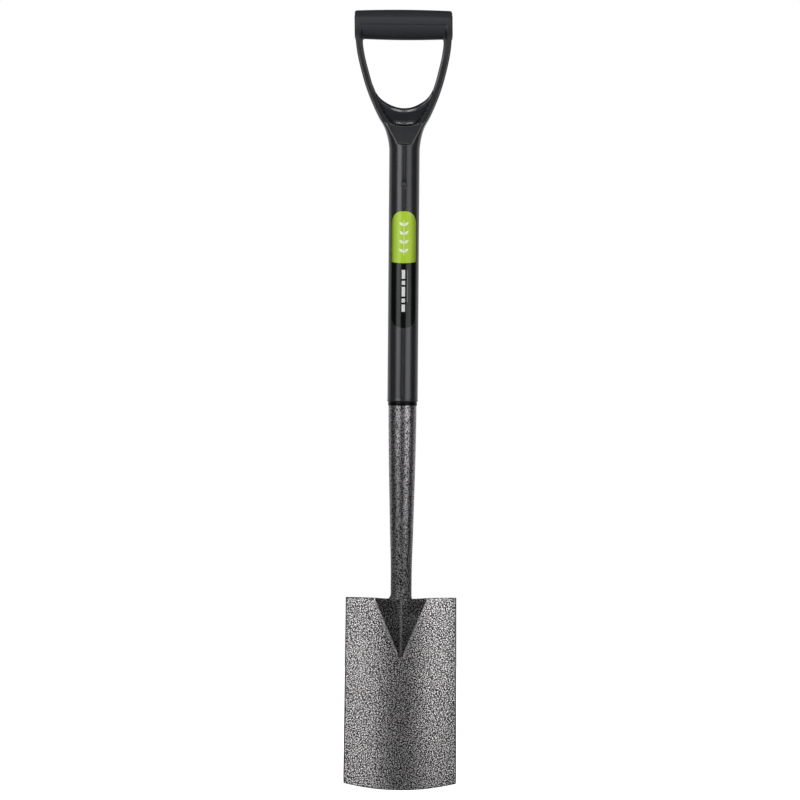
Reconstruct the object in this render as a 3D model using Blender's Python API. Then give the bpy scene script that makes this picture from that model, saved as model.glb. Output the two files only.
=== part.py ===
"""Border spade.

A dished blade pressed from one sheet, with a raised V-shaped frog, is welded
to the tapered lower end of a steel tube.  The upper part of the tube stands
in the long sleeve of a moulded D-grip, and one rivet goes through both.

Frame: +Z runs up the shaft, +X to the right when looking at the dished face,
and -Y is the side that the dished face and the label look to.  The origin is
at the middle of the bounding box, at the level of the cutting edge.
All driving dimensions are in millimetres; the meshes are written in metres.
"""

import math

import bmesh
import bpy

MM = 0.001

# ---------------------------------------------------------------- dimensions
OVERALL = 972.0  # cutting edge to the top of the grip
AXIS_Y = 11.255  # the shaft axis lies this far behind the middle of the depth

# Blade: one pressed sheet
SHEET = 2.0  # thickness
EDGE_SHEET = 1.1  # thickness at the ground cutting edge
EDGE_GRIND = 9.0  # height over which the edge is ground down
BLADE_TOP = 236.5  # height of the top edge beside the tube
TREAD_START = 28.0  # the two treads begin this far from the middle
TREAD_RISE = 1.8  # and rise this much towards the outer corners
HALF_TOP = 68.8  # half width at the top
HALF_BOTTOM = 69.6  # half width at the bottom
EDGE_BOW = 10.6  # the cutting edge's corners stand this high
DISH_RADIUS = 150.0  # the sheet is dished across its width
BLADE_BACK = 8.0  # the sheet's middle at the top edge, behind the shaft axis
LIFT = 8.0  # degrees that the blade leans forward from the shaft axis

# Frog: the raised V that takes the tube's lower end
FROG_APEX = 159.5
FROG_HALF = 32.8  # half width at the top edge
FROG_HEIGHT = 22.4
FROG_CREST = 0.5  # roundness of its ridge at the apex
FROG_CREST_GROWTH = 2.4  # which grows by this much up to the top edge
FROG_CREST_OPEN = 8.6  # and by this much more where it takes up the tube
FROG_OPEN_FROM = 0.74  # that last part begins here, of the frog's height
FROG_BLEND = 0.7  # pressing radius where its walls leave the sheet

# Shaft tube: (height, outside diameter)
TUBE_STATIONS = (
    (236.0, 26.2),
    (262.0, 26.2),
    (284.0, 26.8),
    (310.0, 28.5),
    (347.0, 30.4),
    (397.0, 32.9),
    (435.0, 34.2),
    (475.0, 35.0),
    (500.0, 35.0),
)
TUBE_TOP = 795.5
TUBE_WALL = 1.5
TUBE_TIP = 173.0  # the pressed and closed lower end
TUBE_CAVITY_END = 202.0

# Grip: one moulding of sleeve, neck and D
SLEEVE_R = 19.0
SLEEVE_END = 477.3
END_R = 18.35  # the set-back end of the sleeve
END_TOP = 481.6
LIP_R = 19.25
BORE_R = 17.85
BORE_TOP = 796.0
GRIP_HALF_DEPTH = 12.0  # of the two arms
ARM_TAPER_TOP = 872.0  # below this height the arms thicken towards the neck
ARM_TAPER = 0.045
EDGE_ROUND = 3.5
FACET_TOP = 829.0  # the neck's front and back facets begin here
FACET_FOOT = 797.0  # and run out on the round sleeve here
OUTLINE = (  # (height, half width) of the outside of the D and neck
    (790.0, 19.0),
    (796.8, 19.05),
    (803.0, 19.6),
    (809.3, 20.55),
    (815.5, 22.05),
    (821.8, 24.0),
    (828.0, 26.75),
    (834.3, 30.25),
    (840.5, 33.5),
    (853.0, 39.2),
    (865.5, 44.15),
    (878.0, 48.5),
    (890.5, 52.0),
    (903.0, 55.15),
    (914.3, 57.55),
    (924.3, 59.1),
    (934.3, 59.9),
    (946.0, 60.1),
    (953.0, 60.1),
    (960.0, 60.1),
)
OPENING = (  # (half width, height) of the hand opening, from its foot up
    (0.0, 848.6),
    (7.5, 849.5),
    (15.0, 852.2),
    (22.1, 856.4),
    (28.4, 861.2),
    (33.4, 867.0),
    (37.2, 874.3),
    (39.9, 881.5),
    (43.4, 894.3),
    (46.0, 904.3),
    (48.2, 914.3),
    (49.8, 924.3),
    (50.4, 931.0),
    (50.5, 945.0),
    (50.5, 958.0),
)
POCKET = (  # (half width, height) of the crescent recess under the opening
    (0.0, 825.6),
    (5.3, 825.8),
    (10.6, 827.0),
    (15.8, 829.4),
    (19.6, 832.6),
    (23.4, 837.5),
    (29.2, 847.5),
    (32.2, 854.6),
    (35.6, 863.3),
    (36.6, 870.0),
    (36.0, 874.0),
)
POCKET_FLOOR = 7.0  # from the middle plane
BAR_HALF_LENGTH = 60.9
BAR_CENTRE = 950.8
BAR_FOOT = 934.2
BAR_HALF_DEPTH = 14.5
BAR_STEP = 0.8  # the finger side is set back by this much
BAR_CROWN = 1.0

# Rivet through sleeve and tube
RIVET_Z = 752.3
RIVET_SHANK_R = 2.3
RIVET_HOLE_R = 2.6
RIVET_HEAD_R = 3.3
RIVET_SEAT_R = 3.8
RIVET_SEAT = 18.15  # the seat's floor, from the shaft axis

# Label on the sleeve
LABEL_LOW = 574.1
LABEL_HIGH = 718.9
LABEL_SPLIT = 654.7
LABEL_HALF_ANGLE = 50.9
LABEL_CORNER = 15.0
LABEL_R = 19.25
LABEL_THICK = 0.2

GAP = 0.35  # between the tube's lower end and the frog


# ------------------------------------------------------------------- helpers
def hermite(table, at):
    """Smooth value at a height from (height, value) stations."""
    if at <= table[0][0]:
        return table[0][1]
    if at >= table[-1][0]:
        return table[-1][1]
    i = 0
    while table[i + 1][0] < at:
        i += 1

    def slope(j):
        if j <= 0 or j >= len(table) - 1:
            return 0.0
        (x0, y0), (x1, y1), (x2, y2) = table[j - 1 : j + 2]
        s0, s1 = (y1 - y0) / (x1 - x0), (y2 - y1) / (x2 - x1)
        return 0.0 if s0 * s1 <= 0 else 2.0 * s0 * s1 / (s0 + s1)

    (xa, ya), (xb, yb) = table[i], table[i + 1]
    h = xb - xa
    t = (at - xa) / h
    return (
        ya * (2 * t**3 - 3 * t**2 + 1)
        + slope(i) * h * (t**3 - 2 * t**2 + t)
        + yb * (3 * t**2 - 2 * t**3)
        + slope(i + 1) * h * (t**3 - t**2)
    )


def ease(t):
    t = min(1.0, max(0.0, t))
    return t * t * (3.0 - 2.0 * t)


def mirrored_outline(half, fine=3):
    """Closed outline from half-width stations that start on the middle line
    and run upwards, drawn with `fine` points between stations."""
    pts = []
    for i in range(len(half) - 1):
        p0 = half[i - 1] if i else (-half[1][0], half[1][1])
        p1, p2 = half[i], half[i + 1]
        p3 = half[i + 2] if i + 2 < len(half) else half[i + 1]
        for k in range(fine):
            t = k / fine
            pts.append(
                tuple(
                    0.5
                    * (
                        2 * p1[c]
                        + (p2[c] - p0[c]) * t
                        + (2 * p0[c] - 5 * p1[c] + 4 * p2[c] - p3[c]) * t * t
                        + (3 * p1[c] - p0[c] - 3 * p2[c] + p3[c]) * t**3
                    )
                    for c in (0, 1)
                )
            )
    pts.append(half[-1])
    left = [(-x, z) for x, z in reversed(pts) if x > 1e-6]
    return left + pts


def offset_outline(pts, by):
    """The outline moved outwards by `by` along its own normals."""
    out, n = [], len(pts)
    for i in range(n):
        (ax, az), (bx, bz) = pts[i - 1], pts[(i + 1) % n]
        tx, tz = bx - ax, bz - az
        length = math.hypot(tx, tz) or 1.0
        out.append((pts[i][0] + tz / length * by, pts[i][1] - tx / length * by))
    return out


def add_object(name, verts, faces, material=None, cutter=False):
    """One mesh object from millimetre points given about the shaft axis."""
    mesh = bpy.data.meshes.new(name)
    bm = bmesh.new()
    vs = [bm.verts.new((x * MM, (y + AXIS_Y) * MM, z * MM)) for x, y, z in verts]
    for f in faces:
        bm.faces.new([vs[i] for i in f])
    bmesh.ops.recalc_face_normals(bm, faces=bm.faces)
    if sum(f.calc_area() * f.normal.dot(f.calc_center_median()) for f in bm.faces) < 0:
        bmesh.ops.reverse_faces(bm, faces=bm.faces)
    bm.to_mesh(mesh)
    bm.free()
    mesh.shade_smooth()
    mesh.set_sharp_from_angle(angle=math.radians(35))
    ob = bpy.data.objects.new(name, mesh)
    bpy.context.scene.collection.objects.link(ob)
    if material:
        mesh.materials.append(material)
    if cutter:
        ob.hide_render = True
        ob.display_type = "WIRE"
    else:
        ob.parent = SPADE
    return ob


def chain(rings):
    """Closed solid from a chain of equal rings, capped at both ends."""
    n = len(rings[0])
    verts = [p for ring in rings for p in ring]
    faces = [tuple(range(n)), tuple((len(rings) - 1) * n + i for i in range(n))]
    for r in range(len(rings) - 1):
        for i in range(n):
            j = (i + 1) % n
            faces.append((r * n + i, r * n + j, (r + 1) * n + j, (r + 1) * n + i))
    return verts, faces


def circle(r, z, count, cx=0.0, cy=0.0):
    return [
        (
            cx + r * math.sin(2 * math.pi * i / count),
            cy - r * math.cos(2 * math.pi * i / count),
            z,
        )
        for i in range(count)
    ]


def along_y(r, y, z, count=24):
    """A ring about the Y direction at height z."""
    return [
        (
            r * math.cos(2 * math.pi * i / count),
            y,
            z + r * math.sin(2 * math.pi * i / count),
        )
        for i in range(count)
    ]


def boolean(ob, cutter, how="DIFFERENCE"):
    mod = ob.modifiers.new(cutter.name, "BOOLEAN")
    mod.operation = how
    mod.solver = "EXACT"
    mod.object = cutter


def material(name, colour, roughness, metallic):
    mat = bpy.data.materials.new(name)
    mat.use_nodes = True
    shader = mat.node_tree.nodes["Principled BSDF"]
    shader.inputs["Base Color"].default_value = (*colour, 1.0)
    shader.inputs["Roughness"].default_value = roughness
    shader.inputs["Metallic"].default_value = metallic
    mat.diffuse_color = (*colour, 1.0)
    return mat


# --------------------------------------------------------------------- blade
def frog_scale(z):
    return (z - FROG_APEX) / (BLADE_TOP - FROG_APEX)


def sheet_middle(x, z):
    """Depth of the blade sheet's middle surface."""
    base = BLADE_BACK - (BLADE_TOP - z) * math.tan(math.radians(LIFT))
    base -= DISH_RADIUS - math.sqrt(DISH_RADIUS**2 - x * x)
    s = frog_scale(z)
    crest = FROG_CREST + FROG_CREST_GROWTH * min(1.0, max(0.0, s))
    crest += FROG_CREST_OPEN * ease((s - FROG_OPEN_FROM) / 0.28)
    slope = FROG_HEIGHT / (math.hypot(FROG_HALF, crest) - crest)
    rise = FROG_HEIGHT * s - slope * (math.hypot(x, crest) - crest)
    if rise >= FROG_BLEND:
        pass
    elif rise <= -FROG_BLEND:
        rise = 0.0
    else:
        rise = (rise + FROG_BLEND) ** 2 / (4 * FROG_BLEND)
    return base - rise


def sheet_normal(x, z):
    """Unit normal of the sheet, pointing to its back."""
    e = 0.2
    dx = (sheet_middle(x + e, z) - sheet_middle(x - e, z)) / (2 * e)
    dz = (sheet_middle(x, z + e) - sheet_middle(x, z - e)) / (2 * e)
    length = math.sqrt(1 + dx * dx + dz * dz)
    return (-dx / length, 1 / length, -dz / length)


def sheet_back(x, z):
    """Depth of the sheet's back face, straight behind a point of its face."""
    n = sheet_normal(x, z)
    return sheet_middle(x, z) + SHEET / 2 / n[1]


def sheet_front(x, z):
    n = sheet_normal(x, z)
    return sheet_middle(x, z) - SHEET / 2 / n[1]


def top_edge(x):
    over = max(0.0, abs(x) - TREAD_START)
    return BLADE_TOP + TREAD_RISE * over / (HALF_TOP - TREAD_START)


def blade_mesh():
    inner = (0.0, 0.13, 0.27, 0.42, 0.57, 0.72, 0.86, 0.96, 1.04)
    outer = (0.10, 0.26, 0.45, 0.63, 0.79, 0.91, 1.0)
    low_rows = [0.0, EDGE_GRIND / BLADE_TOP]
    apex_row = FROG_APEX / BLADE_TOP
    low_rows += [0.038 + (apex_row - 0.055) * k / 9 for k in range(1, 10)]
    frog_rows = [apex_row + (1 - apex_row) * k / 12 for k in range(13)]
    rows = low_rows + frog_rows
    grid = []
    for v in rows:
        z0 = v * BLADE_TOP
        half = HALF_BOTTOM + (HALF_TOP - HALF_BOTTOM) * v
        s = frog_scale(z0)
        w = FROG_HALF * s if s > 0.09 else FROG_HALF * 0.09 + 14.0 * (0.09 - s) / 2.4
        xs = [f * w for f in inner] + [inner[-1] * w + f * (half - inner[-1] * w) for f in outer]
        xs = [-x for x in reversed(xs[1:])] + xs
        row = []
        for x in xs:
            low = EDGE_BOW * (x / HALF_BOTTOM) ** 2
            high = top_edge(x)
            z = low + v * (high - low)
            n = sheet_normal(x, z)
            m = sheet_middle(x, z)
            ground = min(1.0, (z - low) / EDGE_GRIND)
            t = EDGE_SHEET + (SHEET - EDGE_SHEET) * ground
            pair = []
            for side in (-1, 1):
                # the edge is ground from the back, so the face stays whole
                reach = SHEET / 2 if side < 0 else t - SHEET / 2
                px, py, pz = (
                    x + side * n[0] * reach,
                    m + side * n[1] * reach,
                    z + side * n[2] * reach,
                )
                if v == 1:
                    pz = top_edge(px)
                pair.append((px, py, pz))
            row.append(pair)
        grid.append(row)
    rows_n, cols_n = len(grid), len(grid[0])
    verts, index = [], {}
    for i in range(rows_n):
        for j in range(cols_n):
            for side in (0, 1):
                index[i, j, side] = len(verts)
                verts.append(grid[i][j][side])
    faces = []
    for side in (0, 1):
        for i in range(rows_n - 1):
            for j in range(cols_n - 1):
                faces.append(
                    (
                        index[i, j, side],
                        index[i, j + 1, side],
                        index[i + 1, j + 1, side],
                        index[i + 1, j, side],
                    )
                )
    for i in range(rows_n - 1):
        for j in (0, cols_n - 1):
            faces.append(
                (index[i, j, 0], index[i + 1, j, 0], index[i + 1, j, 1], index[i, j, 1])
            )
    for j in range(cols_n - 1):
        for i in (0, rows_n - 1):
            faces.append(
                (index[i, j, 0], index[i, j + 1, 0], index[i, j + 1, 1], index[i, j, 1])
            )
    return verts, faces


# ---------------------------------------------------------------- shaft tube
TUBE_SIDES = 32


def tube_shape(z):
    """Half width, front and back of the tube's outside at a height."""
    r = hermite(TUBE_STATIONS, z) / 2
    if z >= BLADE_TOP:
        return r, -r, r
    u = (BLADE_TOP - z) / (BLADE_TOP - TUBE_TIP)
    half = r * (1 + 0.08 * math.sin(math.pi * min(1, u / 0.5))) if u < 0.25 else None
    if half is None:
        at = r * (1 + 0.08 * math.sin(math.pi * 0.5))
        half = at + (3.2 - at) * ease((u - 0.25) / 0.75) ** 0.9
    front = max(-r, sheet_back(0.0, z) + GAP)
    plane = sheet_back(FROG_HALF, z)
    back = r + (plane + 2.6 - r) * ease(u) ** 0.85
    return half, front, max(back, front + 2.4)


def tube_ring(z, inset=0.0):
    half, front, back = tube_shape(z)
    half, front, back = half - inset, front + inset, back - inset
    mid, depth = (front + back) / 2, (back - front) / 2
    ring = []
    for i in range(TUBE_SIDES):
        a = 2 * math.pi * i / TUBE_SIDES
        x, y = half * math.sin(a), mid - depth * math.cos(a)
        if z < BLADE_TOP + 3:
            y = max(y, sheet_back(x, min(z, BLADE_TOP)) + GAP + inset)
        ring.append((x, y, z))
    return ring


def tube_mesh():
    heights = [TUBE_TIP, 177.5, 183, 189.5, 196, 202, 209, 216, 223, 230, BLADE_TOP - 0.5]
    heights += [243, 262, 284, 310, 347, 397, 435, 475, TUBE_TOP]
    inside = [h for h in heights if h >= TUBE_CAVITY_END]
    rings = [tube_ring(z) for z in heights]
    rings += [tube_ring(z, TUBE_WALL) for z in reversed(inside)]
    return chain(rings)


# --------------------------------------------------------------------- welds
def collar_mesh():
    """Fillet weld over the frog's top edge, round the front of the tube."""
    rings = []
    steps = 18
    seat = BLADE_TOP + 0.3
    for k in range(steps + 1):
        side = -1.0 + 2.0 * k / steps
        reach = abs(side)
        # where the bead's foot lies on the top edge of the sheet
        foot_x = side * 18.6
        foot_y = sheet_front(foot_x, BLADE_TOP) + 0.15
        rise = 3.6 + 5.4 * reach**2.2
        r = hermite(TUBE_STATIONS, seat) / 2 + 0.3
        angle = side * math.radians(101)
        ix, iy = r * math.sin(angle), -r * math.cos(angle)
        if reach > 0.55:
            # past the front the foot turns round the side of the tube
            turn = (reach - 0.55) / 0.45
            foot_y += turn**2 * 3.4
        # the bead runs out where it ends on the tube's side
        fade = 0.34 + 0.66 * ease((1.0 - reach) / 0.3)
        foot_x, foot_y = ix + (foot_x - ix) * fade, iy + (foot_y - iy) * fade
        rise *= fade
        bead = [(ix, iy, seat), (foot_x, foot_y, seat)]
        for f, lift in ((0.985, 0.10), (0.62, 0.20), (0.30, 0.46), (0.12, 0.74)):
            bead.append(
                (ix + (foot_x - ix) * f, iy + (foot_y - iy) * f, seat + rise * lift)
            )
        bead.append((ix, iy, seat + rise))
        rings.append(bead)
    return chain(rings)


def back_weld_path():
    """Centre line of the weld down one side of the tube's end, round its tip
    and up the other side, with the bead's radius at each point."""
    half = []
    for z in (232.6, 227.0, 220.2, 212.4, 204.5, 196.6, 188.8, 182.0):
        a, front, back = tube_shape(z)
        bead = 1.7 + 1.7 * (z - 182.0) / 50.6
        mid, depth = (front + back) / 2, (back - front) / 2
        best = None
        for k in range(1, 40):
            # a point beside the tube's section, the bead's radius away from it
            t = math.pi * (0.50 + 0.40 * k / 40)
            nx, ny = math.sin(t) / a, -math.cos(t) / depth
            length = math.hypot(nx, ny)
            x = a * math.sin(t) + nx / length * (bead + 0.75)
            y = mid - depth * math.cos(t) + ny / length * (bead + 0.75)
            n = sheet_normal(x, z)
            clear = (y - sheet_back(x, z)) * n[1] - bead - 0.5
            if best is None or abs(clear) < abs(best[0]):
                best = (clear, x, y)
        half.append((best[1], best[2], z, bead))
    tip = (0.0, sheet_back(0.0, 168.6) + 2.3, 168.6, 1.7)
    near = [
        (5.75, sheet_back(5.75, 176.5) + 2.3, 176.5, 1.7),
        (4.9, sheet_back(4.9, 172.5) + 2.3, 172.5, 1.7),
        (2.9, sheet_back(2.9, 169.7) + 2.3, 169.7, 1.7),
    ]
    right = half + near
    left = [(-x, y, z, b) for x, y, z, b in right]
    return right + [tip] + left[::-1]


def back_weld_mesh():
    path = back_weld_path()
    rings = []
    for i, (x, y, z, r) in enumerate(path):
        ax, ay, az = path[max(0, i - 1)][:3]
        bx, by, bz = path[min(len(path) - 1, i + 1)][:3]
        tx, tz = bx - ax, bz - az
        length = math.hypot(tx, tz)
        ux, uz = tz / length, -tx / length  # across the bead, in the blade's plane
        ring = []
        for k in range(8):
            a = 2 * math.pi * k / 8
            ring.append(
                (
                    x + r * math.cos(a) * ux,
                    y + r * math.sin(a),
                    z + r * math.cos(a) * uz,
                )
            )
        rings.append(ring)
    return chain(rings)


# ---------------------------------------------------------------------- grip
def grip_depth(z):
    """Half depth of the D, and how far the neck's flat facets stand out."""
    arm = GRIP_HALF_DEPTH + ARM_TAPER * max(0.0, ARM_TAPER_TOP - z)
    if z >= FACET_TOP:
        return arm
    top = GRIP_HALF_DEPTH + ARM_TAPER * (ARM_TAPER_TOP - FACET_TOP)
    return SLEEVE_R + (top - SLEEVE_R) * (z - FACET_FOOT) / (FACET_TOP - FACET_FOOT)


def sleeve_radius(z):
    if z <= END_TOP:
        return END_R
    return LIP_R if z < END_TOP + 3.0 else SLEEVE_R


def grip_side(y, z):
    """Half width of the grip at depth y."""
    if z < 797.0:
        r = sleeve_radius(z)
        return math.sqrt(max(0.0, r * r - y * y))
    a = hermite(OUTLINE, z)
    power = 2.0 + 1.3 * ease((z - 800.0) / 27.0)
    wide = a * max(0.0, 1 - (abs(y) / SLEEVE_R) ** power) ** (1 / power)
    over = max(0.0, abs(y) - (grip_depth(z) - EDGE_ROUND)) / EDGE_ROUND
    flat = a - EDGE_ROUND * (1 - math.sqrt(max(0.0, 1 - over * over)))
    m = ease((z - 822.0) / 14.0)
    return wide * (1 - m) + flat * m


def grip_ring(z):
    radius = sleeve_radius(z) if z < 797.0 else SLEEVE_R
    depth = grip_depth(z)
    reach = 9.5 * radius / SLEEVE_R
    arc = math.sqrt(radius**2 - reach**2)
    clipped = depth < arc
    edge = depth if clipped else arc
    half = grip_side(edge, z)

    def face(x):
        if clipped:
            return depth
        span = half if half > 1e-6 else 1.0
        on_arc = math.sqrt(max(0.0, radius**2 - (reach * x / span) ** 2))
        return min(depth, on_arc)

    front = [(half * k / 4, -face(half * k / 4)) for k in range(-4, 5)]
    side = []
    for k in range(1, 12):
        y = -edge * math.cos(math.pi * k / 12)
        side.append((grip_side(y, z), y))
    back = [(-x, -y) for x, y in front]
    left = [(-x, -y) for x, y in side]
    return [(x, y, z) for x, y in front + side + back + left]


def grip_body_mesh():
    heights = [SLEEVE_END, END_TOP, END_TOP + 0.5, END_TOP + 2.6, END_TOP + 3.2]
    heights += [560.0, 700.0, 796.0, 798.5, 801.5, 805.0, 809.5, 815.0, 822.0, FACET_TOP]
    heights += [833.0, 837.5, 845.0, 855.0, 866.0, 878.0, 890.0, 902.0, 914.0, 924.0, 934.0, 944.0, 953.0]
    return chain([grip_ring(z) for z in heights])


def opening_mesh():
    """Cutter for the hand opening, flared so that its rims come out round."""
    outline = mirrored_outline(OPENING, 2)
    rings = []
    for y, out in (
        (-22.0, 3.0),
        (-12.0, 3.0),
        (-11.3, 1.2),
        (-9.4, 0.15),
        (9.4, 0.15),
        (11.3, 1.2),
        (12.0, 3.0),
        (22.0, 3.0),
    ):
        rings.append([(x, y, z) for x, z in offset_outline(outline, out)])
    return chain(rings)


def pocket_mesh(side):
    outline = mirrored_outline(POCKET, 2)
    rings = []
    for y, out, slope in (
        (POCKET_FLOOR, -4.6, 1.0),
        (POCKET_FLOOR + 1.0, -2.4, 0.8),
        (POCKET_FLOOR + 2.6, -0.9, 0.4),
        (GRIP_HALF_DEPTH, 0.0, 0.0),
        (22.0, 0.0, 0.0),
    ):
        ring = []
        for x, z in offset_outline(outline, out):
            # its wall slopes more towards its two upper ends
            narrow = 1.0 - slope * 0.14 * ease((z - 838.0) / 28.0)
            ring.append((x * narrow, side * y, z))
        rings.append(ring)
    return chain(rings)


def bar_mesh():
    rings = []
    for x, out in (
        (-60.9, 1.5),
        (-60.5, 0.5),
        (-59.4, 0.0),
        (-45.0, 0.0),
        (-30.0, 0.0),
        (-15.0, 0.0),
        (0.0, 0.0),
        (15.0, 0.0),
        (30.0, 0.0),
        (45.0, 0.0),
        (59.4, 0.0),
        (60.5, 0.5),
        (60.9, 1.5),
    ):
        bow = (x / BAR_HALF_LENGTH) ** 2
        top = OVERALL - BAR_CROWN * bow - out
        foot = BAR_FOOT + 0.6 * bow + out
        ring = []
        for k in range(13):
            a = math.pi * k / 12
            ring.append(
                (
                    x,
                    -(BAR_HALF_DEPTH - out) * math.copysign(abs(math.cos(a)) ** 0.9, math.cos(a)),
                    BAR_CENTRE + (top - BAR_CENTRE) * math.sin(a) ** 0.95,
                )
            )
        for k in range(13):
            a = math.pi * k / 12
            ring.append(
                (
                    x,
                    (BAR_HALF_DEPTH - BAR_STEP - out)
                    * math.copysign(abs(math.cos(a)) ** 0.9, math.cos(a)),
                    BAR_CENTRE - 1.2 - (BAR_CENTRE - 1.2 - foot) * math.sin(a) ** 0.95,
                )
            )
        rings.append(ring)
    return chain(rings)


# --------------------------------------------------------------- small parts
def rivet_mesh():
    seat, top = RIVET_SEAT + 0.25, RIVET_SEAT + 0.75
    profile = (
        (RIVET_HEAD_R - 0.5, -top),
        (RIVET_HEAD_R, -top + 0.25),
        (RIVET_HEAD_R, -seat),
        (RIVET_SHANK_R, -seat),
        (RIVET_SHANK_R, seat),
        (RIVET_HEAD_R, seat),
        (RIVET_HEAD_R, top - 0.25),
        (RIVET_HEAD_R - 0.5, top),
    )
    return chain([along_y(r, y, RIVET_Z) for r, y in profile])


def label_mesh():
    wide = LABEL_R * math.radians(LABEL_HALF_ANGLE)
    heights = []
    for k in range(7):
        heights.append(LABEL_LOW + LABEL_CORNER * (1 - math.cos(math.pi / 2 * k / 6)))
    for k in range(1, 4):
        heights.append(heights[6] + (LABEL_SPLIT - heights[6]) * k / 3)
    for k in range(1, 4):
        heights.append(
            LABEL_SPLIT + (LABEL_HIGH - LABEL_CORNER - LABEL_SPLIT) * k / 3
        )
    for k in range(1, 7):
        heights.append(
            LABEL_HIGH - LABEL_CORNER + LABEL_CORNER * math.sin(math.pi / 2 * k / 6)
        )
    columns = 12
    verts, index = [], {}
    for i, z in enumerate(heights):
        inside = min(z - LABEL_LOW, LABEL_HIGH - z)
        if inside < LABEL_CORNER:
            d = LABEL_CORNER - inside
            half = wide - LABEL_CORNER + math.sqrt(max(0.0, LABEL_CORNER**2 - d * d))
        else:
            half = wide
        for j in range(columns + 1):
            a = (2.0 * j / columns - 1) * half / LABEL_R
            for side, r in ((0, LABEL_R + LABEL_THICK), (1, LABEL_R)):
                index[i, j, side] = len(verts)
                verts.append((r * math.sin(a), -r * math.cos(a), z))
    n = len(heights)
    faces = []
    for side in (0, 1):
        for i in range(n - 1):
            for j in range(columns):
                faces.append(
                    tuple(
                        index[p, q, side]
                        for p, q in ((i, j), (i, j + 1), (i + 1, j + 1), (i + 1, j))
                    )
                )
    for i in range(n - 1):
        for j in (0, columns):
            faces.append(
                (index[i, j, 0], index[i + 1, j, 0], index[i + 1, j, 1], index[i, j, 1])
            )
    for j in range(columns):
        for i in (0, n - 1):
            faces.append(
                (index[i, j, 0], index[i, j + 1, 0], index[i, j + 1, 1], index[i, j, 1])
            )
    return verts, faces


# --------------------------------------------------------------------- build
for old in list(bpy.data.objects):
    bpy.data.objects.remove(old)

SPADE = bpy.data.objects.new("spade", None)
bpy.context.scene.collection.objects.link(SPADE)

HAMMERED = material("hammered_paint", (0.30, 0.30, 0.31), 0.42, 0.6)
SHAFT_PAINT = material("shaft_paint", (0.24, 0.24, 0.25), 0.40, 0.6)
WELD_PAINT = material("painted_weld", (0.12, 0.12, 0.125), 0.50, 0.4)
BACK_WELD_PAINT = material("painted_back_weld", (0.13, 0.13, 0.135), 0.50, 0.4)
MOULDING = material("black_moulding", (0.022, 0.022, 0.024), 0.34, 0.0)
RIVET_METAL = material("blackened_rivet", (0.05, 0.05, 0.052), 0.45, 0.5)
LABEL_FILM = material("label_film", (0.24, 0.52, 0.05), 0.38, 0.0)

blade = add_object("blade", *blade_mesh(), material=HAMMERED)

shaft_tube = add_object("shaft_tube", *tube_mesh(), material=SHAFT_PAINT)
rivet_hole = add_object(
    "cut_rivet_hole",
    *chain([along_y(RIVET_HOLE_R, -30.0, RIVET_Z), along_y(RIVET_HOLE_R, 30.0, RIVET_Z)]),
    cutter=True,
)
boolean(shaft_tube, rivet_hole)

add_object("frog_weld", *collar_mesh(), material=WELD_PAINT)
add_object("back_weld", *back_weld_mesh(), material=BACK_WELD_PAINT)

d_grip = add_object("d_grip", *grip_body_mesh(), material=MOULDING)
boolean(d_grip, add_object("cut_opening", *opening_mesh(), cutter=True))
for number, where in enumerate((-1, 1)):
    boolean(d_grip, add_object(f"cut_pocket_{number}", *pocket_mesh(where), cutter=True))
boolean(d_grip, add_object("grip_bar_form", *bar_mesh(), cutter=True), "UNION")
boolean(
    d_grip,
    add_object(
        "cut_bore",
        *chain([circle(BORE_R, 470.0, 40), circle(BORE_R, BORE_TOP, 40)]),
        cutter=True,
    ),
)
boolean(d_grip, rivet_hole)
for number, where in enumerate((-1, 1)):
    boolean(
        d_grip,
        add_object(
            f"cut_rivet_seat_{number}",
            *chain(
                [
                    along_y(RIVET_SEAT_R, where * RIVET_SEAT, RIVET_Z),
                    along_y(RIVET_SEAT_R, where * 30.0, RIVET_Z),
                ]
            ),
            cutter=True,
        ),
    )

add_object("grip_rivet", *rivet_mesh(), material=RIVET_METAL)
add_object("label", *label_mesh(), material=LABEL_FILM)
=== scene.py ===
"""Looks of the border spade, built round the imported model."""

import math

import bmesh
import bpy
import numpy as np
from mathutils import Matrix


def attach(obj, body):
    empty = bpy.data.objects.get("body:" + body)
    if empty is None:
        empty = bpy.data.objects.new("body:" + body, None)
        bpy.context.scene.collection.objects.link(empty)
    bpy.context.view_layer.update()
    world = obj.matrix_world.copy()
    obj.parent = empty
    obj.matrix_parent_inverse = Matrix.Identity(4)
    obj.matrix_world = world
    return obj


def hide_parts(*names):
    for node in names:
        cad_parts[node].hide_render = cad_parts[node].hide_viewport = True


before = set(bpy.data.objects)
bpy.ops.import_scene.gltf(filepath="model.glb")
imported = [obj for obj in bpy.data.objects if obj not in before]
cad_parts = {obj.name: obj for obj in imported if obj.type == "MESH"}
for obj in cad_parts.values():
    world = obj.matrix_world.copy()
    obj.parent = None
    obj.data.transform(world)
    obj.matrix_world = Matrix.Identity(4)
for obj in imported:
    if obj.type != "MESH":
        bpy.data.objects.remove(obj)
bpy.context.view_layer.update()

MM = 0.001
SCENE = bpy.context.scene

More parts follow.
